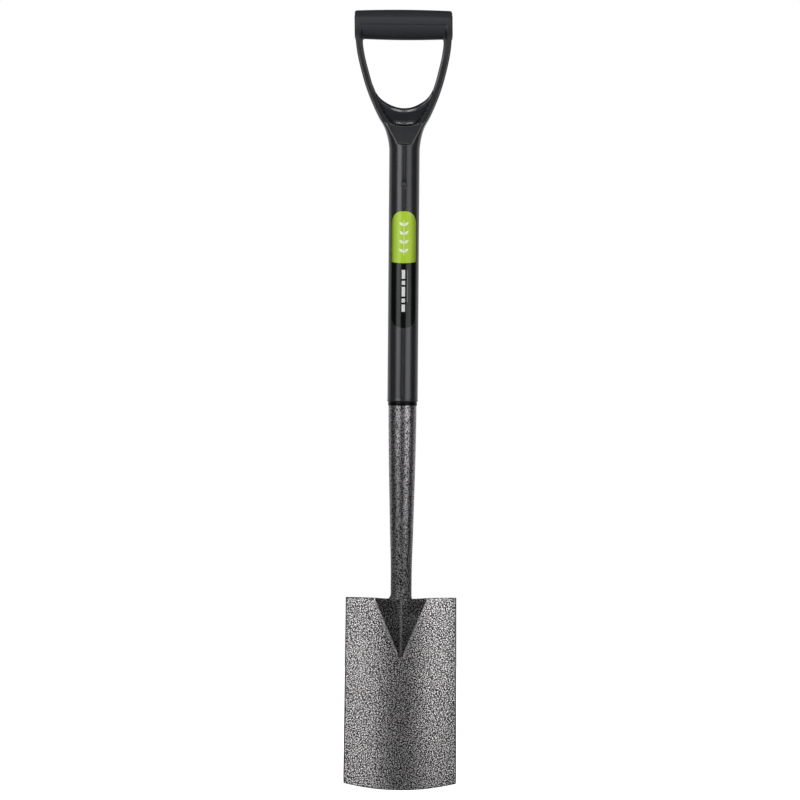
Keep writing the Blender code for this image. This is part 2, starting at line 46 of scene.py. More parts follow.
# ------------------------------------------------------- dimensions (mm), as in the CAD
OVERALL = 972.0
AXIS_Y = 11.255
SHEET = 2.0
EDGE_SHEET = 1.1
EDGE_GRIND = 9.0
BLADE_TOP = 236.5
TREAD_START = 28.0
TREAD_RISE = 1.8
HALF_TOP = 68.8
HALF_BOTTOM = 69.6
EDGE_BOW = 10.6
DISH_RADIUS = 150.0
BLADE_BACK = 8.0
LIFT = 8.0
FROG_APEX = 159.5
FROG_HALF = 32.8
FROG_HEIGHT = 22.4
FROG_BLEND = 0.35
TUBE_STATIONS = (
    (236.0, 26.2),
    (262.0, 26.2),
    (284.0, 26.8),
    (310.0, 28.5),
    (347.0, 30.4),
    (397.0, 32.9),
    (435.0, 34.2),
    (475.0, 35.0),
    (500.0, 35.0),
)
TUBE_TOP = 795.5
TUBE_TIP = 173.0
SLEEVE_R = 19.0
SLEEVE_END = 477.3
LIP_R = 19.25
BORE_R = 17.85
BORE_TOP = 796.0
ARM_DEPTH = 12.0
OUTLINE = (
    (785.0, 19.0),
    (796.8, 19.05),
    (803.0, 19.6),
    (809.3, 20.55),
    (815.5, 22.05),
    (821.8, 24.0),
    (828.0, 26.75),
    (834.3, 30.25),
    (840.5, 33.5),
    (853.0, 39.2),
    (865.5, 44.15),
    (878.0, 48.5),
    (890.5, 52.0),
    (903.0, 55.15),
    (914.3, 57.55),
    (924.3, 59.1),
    (934.3, 59.9),
    (946.0, 60.1),
    (953.0, 60.1),
    (962.0, 60.1),
)
OPENING = (
    (0.0, 848.95),
    (7.5, 849.7),
    (15.0, 852.1),
    (22.1, 855.8),
    (28.4, 860.3),
    (33.4, 866.3),
    (37.2, 873.9),
    (39.9, 881.3),
    (43.4, 894.3),
    (46.0, 904.3),
    (48.2, 914.3),
    (49.8, 924.3),
    (50.4, 931.0),
    (50.5, 945.0),
    (50.5, 958.0),
)
POCKET = (
    (0.0, 825.6),
    (5.3, 825.8),
    (10.6, 827.0),
    (15.8, 829.4),
    (19.6, 832.6),
    (23.4, 837.5),
    (29.2, 847.5),
    (32.2, 854.6),
    (35.6, 863.3),
    (37.0, 870.0),
    (37.4, 878.0),
)
RIVET_Z = 752.3
LABEL_LOW = 574.1
LABEL_HIGH = 718.9
LABEL_SPLIT = 654.7
LABEL_HALF_ANGLE = 50.9
LABEL_CORNER = 15.0
LABEL_R = 19.25
# the D leans a little to the left of the shaft above its neck
LEAN = 0.016
LEAN_FROM = 809.0


# ------------------------------------------------------------------ helpers
def hermite(table, at):
    """Smooth values at heights from (height, value) stations."""
    at = np.asarray(at, float)
    xs = np.array([p[0] for p in table], float)
    ys = np.array([p[1] for p in table], float)
    s = np.diff(ys) / np.diff(xs)
    m = np.zeros(len(xs))
    prod = s[:-1] * s[1:]
    both = np.where(np.abs(s[:-1] + s[1:]) > 1e-12, s[:-1] + s[1:], 1.0)
    m[1:-1] = np.where(prod > 0, 2 * prod / both, 0.0)
    i = np.clip(np.searchsorted(xs, at) - 1, 0, len(xs) - 2)
    h = xs[i + 1] - xs[i]
    t = np.clip((at - xs[i]) / h, 0, 1)
    return (
        ys[i] * (2 * t**3 - 3 * t**2 + 1)
        + m[i] * h * (t**3 - 2 * t**2 + t)
        + ys[i + 1] * (3 * t**2 - 2 * t**3)
        + m[i + 1] * h * (t**3 - t**2)
    )


def ease(t):
    t = np.clip(t, 0.0, 1.0)
    return t * t * (3.0 - 2.0 * t)


def spline(points, fine):
    """Smooth polyline through points of any dimension."""
    p = np.asarray(points, float)
    out = []
    for i in range(len(p) - 1):
        p0 = p[i - 1] if i else 2 * p[0] - p[1]
        p1, p2 = p[i], p[i + 1]
        p3 = p[i + 2] if i + 2 < len(p) else 2 * p[-1] - p[-2]
        for k in range(fine):
            t = k / fine
            out.append(
                0.5
                * (
                    2 * p1
                    + (p2 - p0) * t
                    + (2 * p0 - 5 * p1 + 4 * p2 - p3) * t * t
                    + (3 * p1 - p0 - 3 * p2 + p3) * t**3
                )
            )
    out.append(p[-1])
    return np.array(out)


def lean(z):
    """How far to the left a height of the D lies."""
    return LEAN * np.maximum(0.0, z - LEAN_FROM)


def piece(name, verts, faces, material, node=None, slot=None, smooth=180.0):
    """A mesh piece from points in millimetres about the shaft axis."""
    v = np.asarray(verts, float).copy()
    v[:, 0] -= lean(v[:, 2])
    v[:, 1] += AXIS_Y
    mesh = bpy.data.meshes.new(name)
    mesh.from_pydata((v * MM).tolist(), [], [tuple(int(i) for i in f) for f in faces])
    mesh.update()
    bm = bmesh.new()
    bm.from_mesh(mesh)
    bmesh.ops.recalc_face_normals(bm, faces=bm.faces)
    if bm.calc_volume(signed=True) < 0:
        bmesh.ops.reverse_faces(bm, faces=bm.faces)
    bm.to_mesh(mesh)
    bm.free()
    mesh.shade_smooth()
    if smooth < 180.0:
        mesh.set_sharp_from_angle(angle=math.radians(smooth))
    ob = bpy.data.objects.new(name, mesh)
    SCENE.collection.objects.link(ob)
    mesh.materials.append(material)
    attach(ob, "root")
    if node:
        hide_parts(node)
    return ob


def loft(rings, caps=True):
    """Quads through equal closed rings, with flat caps."""
    rings = [np.asarray(r, float) for r in rings]
    n = len(rings[0])
    verts = np.concatenate(rings)
    i = np.arange(n)
    j = (i + 1) % n
    faces = []
    for r in range(len(rings) - 1):
        a, b = r * n, (r + 1) * n
        faces += list(zip(a + i, a + j, b + j, b + i))
    if caps:
        faces.append(tuple(range(n)))
        faces.append(tuple((len(rings) - 1) * n + i for i in range(n)))
    return verts, faces


# ---------------------------------------------------------------- materials
class Nodes:
    """Short calls for building one material's node tree."""

    def __init__(self, name, colour):
        self.mat = bpy.data.materials.new(name)
        self.mat.use_nodes = True
        self.mat.diffuse_color = (*colour, 1.0)
        self.tree = self.mat.node_tree
        self.shader = self.tree.nodes["Principled BSDF"]
        self.coord = self.tree.nodes.new("ShaderNodeTexCoord")

    def node(self, kind, **settings):
        n = self.tree.nodes.new(kind)
        for key, value in settings.items():
            setattr(n, key, value)
        return n

    def link(self, a, b):
        self.tree.links.new(a, b)

    def put(self, socket, value):
        if hasattr(value, "links"):
            self.link(value, socket)
        else:
            socket.default_value = value

    def math(self, op, a, b=0.0, c=0.0):
        n = self.node("ShaderNodeMath", operation=op)
        self.put(n.inputs[0], a)
        self.put(n.inputs[1], b)
        if len(n.inputs) > 2:
            self.put(n.inputs[2], c)
        return n.outputs[0]

    def range(self, value, lo, hi, to_lo=0.0, to_hi=1.0, kind="SMOOTHSTEP"):
        n = self.node("ShaderNodeMapRange", interpolation_type=kind)
        self.put(n.inputs["Value"], value)
        n.inputs["From Min"].default_value = lo
        n.inputs["From Max"].default_value = hi
        n.inputs["To Min"].default_value = to_lo
        n.inputs["To Max"].default_value = to_hi
        return n.outputs["Result"]

    def mix(self, factor, a, b):
        n = self.node("ShaderNodeMix", data_type="RGBA")
        self.put(n.inputs["Factor"], factor)
        for socket, value in ((n.inputs[6], a), (n.inputs[7], b)):
            if isinstance(value, tuple) and len(value) == 3:
                value = (*value, 1.0)
            self.put(socket, value)
        return n.outputs[2]

    def noise(self, scale, detail=2.0, roughness=0.5, vector=None, distortion=0.0):
        n = self.node("ShaderNodeTexNoise")
        n.inputs["Scale"].default_value = scale
        n.inputs["Detail"].default_value = detail
        n.inputs["Roughness"].default_value = roughness
        n.inputs["Distortion"].default_value = distortion
        self.link(vector or self.coord.outputs["Object"], n.inputs["Vector"])
        return n

    def warp(self, amount, scale, vector=None):
        """Object coordinates pushed about by noise; amount in metres."""
        source = vector or self.coord.outputs["Object"]
        n = self.noise(scale, 1.0, vector=source)
        centre = self.node("ShaderNodeVectorMath", operation="SUBTRACT")
        self.link(n.outputs["Color"], centre.inputs[0])
        centre.inputs[1].default_value = (0.5, 0.5, 0.5)
        size = self.node("ShaderNodeVectorMath", operation="SCALE")
        self.link(centre.outputs[0], size.inputs[0])
        size.inputs["Scale"].default_value = amount
        add = self.node("ShaderNodeVectorMath", operation="ADD")
        self.link(source, add.inputs[0])
        self.link(size.outputs[0], add.inputs[1])
        return add.outputs[0]

    def bump(self, height, distance, strength=1.0, normal=None):
        n = self.node("ShaderNodeBump")
        n.inputs["Distance"].default_value = distance
        n.inputs["Strength"].default_value = strength
        self.put(n.inputs["Height"], height)
        if normal is not None:
            self.link(normal, n.inputs["Normal"])
        return n.outputs["Normal"]


def hammered(name, silver, vein, cell, relief=0.00016, low_end_shade_and_matt=False, spaced=False, gloss=0.0):
    """Silver and black hammered paint: pale flakes broken by small dark pits."""
    m = Nodes(name, silver)
    place = m.node("ShaderNodeSeparateXYZ")
    m.link(m.coord.outputs["Object"], place.inputs[0])
    if spaced:
        # pits and flakes stand at even spacings over the sheet

        sway = m.node("ShaderNodeSeparateXYZ")
        m.link(m.warp(cell * 1.5, 0.16 / cell), sway.inputs[0])

        def spots(size, shift, turn, lo, hi):
            c, s = math.cos(math.radians(turn)), math.sin(math.radians(turn))
            x, z = sway.outputs["X"], sway.outputs["Z"]
            flat = m.node("ShaderNodeCombineXYZ")
            u = m.math("MULTIPLY_ADD", x, c, m.math("MULTIPLY", z, s))
            v = m.math("MULTIPLY_ADD", z, c, m.math("MULTIPLY", x, -s))
            m.link(m.math("ADD", u, shift), flat.inputs["X"])
            m.link(m.math("ADD", v, shift * 0.7), flat.inputs["Y"])
            v = m.node("ShaderNodeTexVoronoi", voronoi_dimensions="2D", feature="F1")
            v.inputs["Scale"].default_value = 1.0 / size
            v.inputs["Randomness"].default_value = 0.8
            m.link(flat.outputs[0], v.inputs["Vector"])
            return m.range(v.outputs["Distance"], lo, hi, kind="LINEAR")

        pit = spots(cell, 0.31, 31.0, 0.27, 0.38)
        flake = spots(cell * 0.92, 1.73, -17.0, 0.36, 0.26)
        dull = tuple(c * 0.06 for c in silver)
        # painted highlight: the frog's crest and its pressed edges are painted brighter
        up = m.range(place.outputs["Z"], FROG_APEX * MM, BLADE_TOP * MM, kind="LINEAR")
        wide = m.math("ABSOLUTE", place.outputs["X"])
        beyond = m.math("SUBTRACT", wide, m.math("MULTIPLY", up, FROG_HALF * MM))
        off = m.math("ABSOLUTE", m.math("SUBTRACT", beyond, 0.0007))
        foot = m.range(place.outputs["Z"], (FROG_APEX + 3) * MM, (FROG_APEX + 14) * MM)
        painted_highlight = m.math("MULTIPLY", m.range(off, 0.0014, 0.0004), 0.5)
        painted_highlight = m.math("MAXIMUM", painted_highlight, m.math("MULTIPLY", m.range(wide, 0.0022, 0.0006), 0.52))
        painted_highlight = m.math("MULTIPLY", painted_highlight, foot)
        flake = m.math("MINIMUM", m.math("ADD", flake, painted_highlight), 1.0)
        tone = m.mix(flake, dull, silver)
        # and painted shade darkens its faces towards the apex
        flank_shade = m.math("MULTIPLY", m.range(beyond, 0.0004, -0.0010), m.range(up, 0.75, 0.18, 0.0, 0.45))
        flank_shade = m.math("MULTIPLY", flank_shade, m.range(wide, 0.0006, 0.0022, 0.35, 1.0))
        tone = m.mix(flank_shade, tone, vein)
        m.link(m.mix(pit, vein, tone), m.shader.inputs["Base Color"])
    else:
        fine = m.noise(1.0 / cell, 0.0)
        pit = m.range(fine.outputs["Fac"], 0.36, 0.60, kind="LINEAR")
        glint = m.noise(1.0 / cell, 0.0, vector=m.warp(0.0004, 900.0))
        shine = m.range(glint.outputs["Fac"], 0.3, 0.7, 0.35, 1.65, "LINEAR")
        bright = m.math("MULTIPLY", pit, shine)
        if low_end_shade_and_matt:
            # painted shade: the lower end of the tube, and the welds below it, are darkened
            bright = m.math("MULTIPLY", bright, m.range(place.outputs["Z"], 0.26, 0.40, 0.60, 1.0))
        m.link(m.mix(bright, vein, silver), m.shader.inputs["Base Color"])
    drift = m.noise(40.0, 3.0)
    rough = m.math("MULTIPLY_ADD", drift.outputs["Fac"], 0.06, m.range(pit, 0.0, 1.0, 0.43 - gloss, 0.36 - gloss, "LINEAR"))
    if low_end_shade_and_matt:
        rough = m.math("ADD", rough, m.range(place.outputs["Z"], 0.34, 0.25, 0.0, 0.30))
    m.link(rough, m.shader.inputs["Roughness"])
    m.shader.inputs["Metallic"].default_value = 0.97
    m.shader.inputs["Coat Weight"].default_value = 0.25
    m.shader.inputs["Coat Roughness"].default_value = 0.24
    dimple = m.noise(0.6 / cell, 1.0, 0.5)
    height = m.math("MULTIPLY_ADD", pit, 0.12, dimple.outputs["Fac"])
    m.link(m.bump(height, relief, 1.0), m.shader.inputs["Normal"])
    return m.mat


def moulding(name):
    """Black injection moulding with a fine grain and faint flow, with painted shade and painted highlights."""
    m = Nodes(name, (0.022, 0.022, 0.024))
    grain = m.noise(2600.0, 2.0, 0.6)
    cloud = m.noise(55.0, 3.0, 0.6)
    stretch = m.node("ShaderNodeMapping")
    stretch.inputs["Scale"].default_value = (1.0, 1.0, 0.06)
    m.link(m.coord.outputs["Object"], stretch.inputs["Vector"])
    flow = m.noise(420.0, 2.0, 0.5, vector=stretch.outputs["Vector"])
    geometry = m.node("ShaderNodeNewGeometry")
    # painted highlight: convex edges, found by pointiness, are made paler
    edge = m.range(geometry.outputs["Pointiness"], 0.515, 0.56)
    tone = m.range(cloud.outputs["Fac"], 0.3, 0.7, 0.0, 1.0, "LINEAR")
    body = m.mix(tone, (0.0174, 0.0182, 0.0216), (0.0221, 0.0230, 0.0273))
    body = m.mix(m.math("MULTIPLY", edge, 0.2), body, (0.060, 0.060, 0.066))
    place = m.node("ShaderNodeSeparateXYZ")
    m.link(m.coord.outputs["Object"], place.inputs[0])
    # the hand bar is duller, and painted light makes its colour a little paler to lift its shaded face
    bar = m.range(place.outputs["Z"], 0.905, 0.935)
    body = m.mix(m.math("MULTIPLY", bar, 0.7), body, (0.0330, 0.0342, 0.0385))
    # painted shade in the set-back end of the sleeve
    unshaded = m.range(place.outputs["Z"], 0.48175, 0.48225)
    # and painted shade in the creases, by the amount stored on the mesh
    crease = m.node("ShaderNodeAttribute", attribute_type="GEOMETRY", attribute_name="crease")
    unshaded = m.math("MULTIPLY", unshaded, m.math("SUBTRACT", 1.0, crease.outputs["Fac"]))
    m.link(m.mix(unshaded, (0.004, 0.004, 0.0045), body), m.shader.inputs["Base Color"])
    shine = m.math("MULTIPLY_ADD", unshaded, 0.43, 0.07)
    shine = m.math("MULTIPLY", shine, m.math("MULTIPLY_ADD", bar, -0.50, 1.0))
    m.link(shine, m.shader.inputs["Specular IOR Level"])
    # the hand bar is satin, the pocket under the opening is polished
    satin = m.range(place.outputs["Z"], 0.895, 0.935, 0.0, 0.16)
    low = m.range(place.outputs["Z"], 0.812, 0.824)
    high = m.range(place.outputs["Z"], 0.868, 0.852)
    polish = m.math("MULTIPLY", m.math("MULTIPLY", low, high), -0.11)
    r = m.math("MULTIPLY_ADD", cloud.outputs["Fac"], 0.06, 0.205)
    r = m.math("MULTIPLY_ADD", flow.outputs["Fac"], 0.05, r)
    r = m.math("ADD", m.math("ADD", r, satin), polish)
    m.link(r, m.shader.inputs["Roughness"])
    n = m.bump(grain.outputs["Fac"], 0.00001, 0.5)
    n = m.bump(flow.outputs["Fac"], 0.00002, 0.5, normal=n)
    m.link(n, m.shader.inputs["Normal"])
    return m.mat


def label_film(name):
    """Green over black printed film with a generic design of plain shapes."""
    m = Nodes(name, (0.24, 0.52, 0.05))
    split = m.node("ShaderNodeSeparateXYZ")
    m.link(m.coord.outputs["Object"], split.inputs[0])
    # distance round the sleeve from its front, in metres
    x = split.outputs["X"]
    y = m.math("SUBTRACT", split.outputs["Y"], AXIS_Y * MM)
    round_ = m.math("MULTIPLY", m.math("ARCTAN2", x, m.math("MULTIPLY", y, -1.0)), LABEL_R * MM)
    z = split.outputs["Z"]

    def box(u0, u1, z0, z1, soft=0.00025):
        """1 inside a rectangle given round and up the sleeve, in millimetres."""
        parts = [
            m.range(round_, u0 * MM - soft, u0 * MM + soft, kind="LINEAR"),
            m.range(round_, u1 * MM + soft, u1 * MM - soft, kind="LINEAR"),
            m.range(z, z0 * MM - soft, z0 * MM + soft, kind="LINEAR"),
            m.range(z, z1 * MM + soft, z1 * MM - soft, kind="LINEAR"),
        ]
        out = parts[0]
        for p in parts[1:]:
            out = m.math("MULTIPLY", out, p)
        return out

    def ellipse(cu, cz, ru, rz):
        """Size of a point in an ellipse: 1 on its line."""
        a = m.math("DIVIDE", m.math("SUBTRACT", round_, cu * MM), ru * MM)
        b = m.math("DIVIDE", m.math("SUBTRACT", z, cz * MM), rz * MM)
        return m.math("SQRT", m.math("MULTIPLY_ADD", a, a, m.math("MULTIPLY", b, b)))

    # green over black
    pale = m.noise(35.0, 2.0)
    green = m.mix(pale.outputs["Fac"], (0.42, 0.65, 0.030), (0.48, 0.72, 0.044))
    black = m.mix(pale.outputs["Fac"], (0.0012, 0.0026, 0.0016), (0.0022, 0.0040, 0.0028))
    # the line between the colours rises a little towards its ends
    rise = m.math("MULTIPLY", m.math("MULTIPLY", round_, round_), 6.5)
    line = m.math("SUBTRACT", z, rise)
    field = m.mix(m.range(line, (LABEL_SPLIT - 0.4) * MM, (LABEL_SPLIT + 0.0) * MM, kind="LINEAR"), black, green)

    # on the green: four pairs of leaves on a stem
    motif = box(-0.4, 0.4, 664.0, 708.0)
    for k, zc in enumerate((668.5, 679.5, 690.5, 701.5)):
        for side in (-1, 1):
            a = m.math("SUBTRACT", round_, side * 3.1 * MM)
            b = m.math("SUBTRACT", z, (zc + 1.6) * MM)
            along = m.math("MULTIPLY_ADD", a, side * 0.77, m.math("MULTIPLY", b, 0.64))
            across = m.math("MULTIPLY_ADD", a, side * -0.64, m.math("MULTIPLY", b, 0.77))
            u = m.math("DIVIDE", along, 3.6 * MM)
            v = m.math("DIVIDE", across, 1.7 * MM)
            d = m.math("MULTIPLY_ADD", u, u, m.math("ABSOLUTE", v))
            motif = m.math("MAXIMUM", motif, m.range(d, 1.06, 0.94, kind="LINEAR"))
    field = m.mix(motif, field, (0.86, 0.95, 0.70))

    # on the black: a row of white blocks and a thin grey line
    blocks = None
    for z0, z1 in ((594.0, 603.0), (605.5, 610.5), (613.0, 625.0), (627.5, 632.5), (635.0, 646.0)):
        b = box(-2.2, 2.0, z0, z1)
        blocks = b if blocks is None else m.math("MAXIMUM", blocks, b)
    field = m.mix(blocks, field, (0.80, 0.81, 0.81))
    field = m.mix(box(4.6, 5.6, 606.0, 646.0), field, (0.16, 0.17, 0.17))
    # painted shade: the film is darker towards its two sides, more on the left
    left = m.range(round_, -0.0115, -0.0160, 0.0, 0.50)
    right = m.range(round_, 0.0095, 0.0160, 0.0, 0.30)
    field = m.mix(m.math("ADD", left, right), field, (0.003, 0.006, 0.003))
    m.link(field, m.shader.inputs["Base Color"])
    wear = m.noise(300.0, 2.0)
    m.link(m.math("MULTIPLY_ADD", wear.outputs["Fac"], 0.06, 0.17), m.shader.inputs["Roughness"])
    m.shader.inputs["Specular IOR Level"].default_value = 0.27
    m.link(m.bump(wear.outputs["Fac"], 0.00002, 0.4), m.shader.inputs["Normal"])
    return m.mat


def rivet_metal(name):
    m = Nodes(name, (0.05, 0.05, 0.052))
    turn = m.noise(900.0, 2.0)
    m.link(m.mix(turn.outputs["Fac"], (0.030, 0.030, 0.034), (0.060, 0.060, 0.066)), m.shader.inputs["Base Color"])
    m.shader.inputs["Metallic"].default_value = 0.2
    m.link(m.math("MULTIPLY_ADD", turn.outputs["Fac"], 0.12, 0.24), m.shader.inputs["Roughness"])
    m.link(m.bump(turn.outputs["Fac"], 0.00004, 0.6), m.shader.inputs["Normal"])
    return m.mat


BLADE_PAINT = hammered("hammered_blade", (0.95, 0.932, 0.942), (0.002, 0.002, 0.002), 0.00180, 0.00014, spaced=True)
EDGE_PAINT = hammered("hammered_edge", (0.06, 0.059, 0.06), (0.004, 0.004, 0.004), 0.00118, 0.00012)
SHAFT_PAINT = hammered("hammered_shaft", (0.346, 0.334, 0.349), (0.008, 0.008, 0.008), 0.0014, 0.00016, True, gloss=0.05)
WELD_PAINT = hammered("hammered_weld", (0.30, 0.296, 0.30), (0.008, 0.008, 0.008), 0.0014, 0.00018, True)
BLACK = moulding("black_moulding")
FILM = label_film("printed_film")
RIVET = rivet_metal("blackened_rivet")


# --------------------------------------------------------------------- blade
def sheet_middle(x, z):
    x, z = np.asarray(x, float), np.asarray(z, float)
    base = BLADE_BACK - (BLADE_TOP - z) * math.tan(math.radians(LIFT))
    base = base - (DISH_RADIUS - np.sqrt(DISH_RADIUS**2 - x * x))
    s = (z - FROG_APEX) / (BLADE_TOP - FROG_APEX)
    # a narrow ridge that opens to the tube's roundness at the top
    crest = 0.3 + 2.6 * np.clip(s, 0.0, 1.0) + 8.6 * ease((s - 0.74) / 0.28)
    slope = FROG_HEIGHT / (np.hypot(FROG_HALF, crest) - crest)
    rise = FROG_HEIGHT * s - slope * (np.hypot(x, crest) - crest)
    blend = np.where(
        rise >= FROG_BLEND,
        rise,
        np.where(rise <= -FROG_BLEND, 0.0, (rise + FROG_BLEND) ** 2 / (4 * FROG_BLEND)),
    )
    return base - blend


def sheet_normal(x, z):
    e = 0.25
    dx = (sheet_middle(x + e, z) - sheet_middle(x - e, z)) / (2 * e)
    dz = (sheet_middle(x, z + e) - sheet_middle(x, z - e)) / (2 * e)
    length = np.sqrt(1 + dx * dx + dz * dz)
    return np.stack([-dx / length, 1 / length, -dz / length], -1)


def sheet_back(x, z):
    return sheet_middle(x, z) + SHEET / 2 / sheet_normal(x, z)[..., 1]


def sheet_front(x, z):
    return sheet_middle(x, z) - SHEET / 2 / sheet_normal(x, z)[..., 1]


def top_edge(x):
    return BLADE_TOP + TREAD_RISE * np.maximum(0.0, np.abs(x) - TREAD_START) / (HALF_TOP - TREAD_START)


def low_edge(x):
    return EDGE_BOW * (x / HALF_BOTTOM) ** 2


def blade_mesh(nu=190, nv=300, inset=0.8):
    u = np.linspace(-1, 1, nu + 1)
    v = np.linspace(0, 1, nv + 1)
    U, V = np.meshgrid(u, v)

    def outline(U, V, by):
        half = HALF_BOTTOM + (HALF_TOP - HALF_BOTTOM) * V - by
        X = U * half
        low, high = low_edge(X) + by, top_edge(X) - by
        return X, low + V * (high - low), low, high

    X, Z, low, high = outline(U, V, inset)
    N = sheet_normal(X, Z)
    P = np.stack([X, sheet_middle(X, Z), Z], -1)
    ground = np.clip((Z - low_edge(X)) / EDGE_GRIND, 0, 1)
    T = EDGE_SHEET + (SHEET - EDGE_SHEET) * ground
    front = P - N * (SHEET / 2)
    back = P + N * (T - SHEET / 2)[..., None]
    n = (nu + 1) * (nv + 1)
    verts = [front.reshape(-1, 3), back.reshape(-1, 3)]
    idx = np.arange(n).reshape(nv + 1, nu + 1)
    q = np.stack([idx[:-1, :-1], idx[:-1, 1:], idx[1:, 1:], idx[1:, :-1]], -1).reshape(-1, 4)
    faces = [q, q[:, ::-1] + n]
    # the rim, rounded between the two faces
    loop = np.concatenate([idx[0, :-1], idx[:-1, -1], idx[-1, :0:-1], idx[:0:-1, 0]])
    XO, ZO, _, _ = outline(U, V, 0.0)
    out = np.stack([XO - X, sheet_middle(XO, ZO) - sheet_middle(X, Z), ZO - Z], -1).reshape(-1, 3)[loop]
    f, b = verts[0][loop], verts[1][loop]
    mid, half = (f + b) / 2, (f - b) / 2
    rings = []
    start = 2 * n
    for k in (1, 2, 3, 4, 5):
        a = math.pi * k / 6
        rings.append(mid + half * math.cos(a) + out * math.sin(a))
    m = len(loop)
    indices = [loop] + [start + k * m + np.arange(m) for k in range(5)] + [loop + n]
    for a, b2 in zip(indices[:-1], indices[1:]):
        faces.append(np.stack([a, np.roll(a, -1), np.roll(b2, -1), b2], -1))
    return np.concatenate(verts + rings), np.concatenate(faces)


blade = piece("blade_sheet", *blade_mesh(), BLADE_PAINT, node="blade", slot="blade_paint")


def darken_rim(ob, material, count):
    """The last faces of the blade's mesh are its rim, which is painted dark."""
    ob.data.materials.append(material)
    index = np.zeros(len(ob.data.polygons), np.int32)
    index[-count:] = 1
    ob.data.polygons.foreach_set("material_index", index)


darken_rim(blade, EDGE_PAINT, 6 * 2 * (190 + 300))


# ---------------------------------------------------------------- shaft tube
def tube_shape(z):
    r = float(hermite(TUBE_STATIONS, z)) / 2
    if z >= BLADE_TOP:
        return r, -r, r
    u = (BLADE_TOP - z) / (BLADE_TOP - TUBE_TIP)
    if u < 0.25:
        half = r * (1 + 0.08 * math.sin(math.pi * min(1, u / 0.5)))
    else:
        at = r * 1.08
        half = at + (3.2 - at) * float(ease((u - 0.25) / 0.75)) ** 0.9
    front = max(-r, float(sheet_back(0.0, z)) + 0.1)
    plane = float(sheet_back(FROG_HALF, z))
    back = r + (plane + 2.6 - r) * float(ease(u)) ** 0.85
    return half, front, max(back, front + 2.4)


def tube_ring(z, sides=112):
    half, front, back = tube_shape(z)
    mid, depth = (front + back) / 2, (back - front) / 2
    a = 2 * np.pi * np.arange(sides) / sides
    x, y = half * np.sin(a), mid - depth * np.cos(a)
    if z < BLADE_TOP + 3:
        y = np.maximum(y, sheet_back(x, np.full(sides, min(z, BLADE_TOP))) + 0.1)
    return np.stack([x, y, np.full(sides, z)], -1)


def tube_mesh():
    heights = np.concatenate(
        [np.linspace(TUBE_TIP, BLADE_TOP - 0.4, 40), np.linspace(239, 500, 110), np.linspace(520, TUBE_TOP, 12)]
    )
    rings = [tube_ring(float(z)) for z in heights]
    tip = rings[0].copy()
    c = tip.mean(0)
    tip = c + (tip - c) * 0.6
    tip[:, 2] -= 0.8
    return loft([tip] + rings)


piece("tapered_tube", *tube_mesh(), SHAFT_PAINT, node="shaft_tube", slot="shaft_paint", smooth=50.0)


# --------------------------------------------------------------------- welds
def collar_mesh(steps=96, fine=10):
    """The fillet weld over the frog's top edge, round the front of the tube."""
    rings = []
    seat = BLADE_TOP - 0.9
    for k in range(steps + 1):
        side = -1.0 + 2.0 * k / steps
        reach = abs(side)
        # the bead is fuller on the left
        foot_x = side * 17.2 if side > 0 else -17.9 * min(1.0, reach / 0.78)
        foot_y = float(sheet_front(foot_x, BLADE_TOP)) - 0.15
        rise = 8.6 + (-0.8 if side < 0 else -1.4) * reach**2 + 7.0 * float(ease(1.0 - reach / 0.6))
        r = float(hermite(TUBE_STATIONS, seat)) / 2 - 0.05
        angle = side * math.radians(103)
        ix, iy = r * math.sin(angle), -r * math.cos(angle)
        turn = max(0.0, (reach - 0.55) / 0.45)
        foot_y += turn**2 * 3.4
        fade = 0.30 + 0.70 * float(ease((1.0 - reach) / 0.22))
        foot_x, foot_y = ix + (foot_x - ix) * fade, iy + (foot_y - iy) * fade
        rise *= fade
        ripple = 1.0 + 0.035 * math.sin(k * 0.9) + 0.02 * math.sin(k * 2.3 + 1.0)
        bead = [(ix * 0.9, iy * 0.9, seat - 0.6), (foot_x, foot_y, seat - 0.6)]
        for j in range(fine + 1):
            t = j / fine
            # a hollow fillet at the sides, a long soft ramp in front
            side_on = float(ease((reach - 0.30) / 0.45))
            f = side_on * (1 - t) ** 1.9 + (1 - side_on) * (1 - float(ease(t)))
            lift = side_on * t**1.55 + (1 - side_on) * t
            bead.append((ix + (foot_x - ix) * f, iy + (foot_y - iy) * f, seat + rise * ripple * lift))
        bead.append((ix * 0.9, iy * 0.9, seat + rise * ripple + 0.3))
        rings.append(bead)
    return loft(rings)


piece("frog_fillet_weld", *collar_mesh(), WELD_PAINT, node="frog_weld", slot="weld_paint", smooth=60.0)


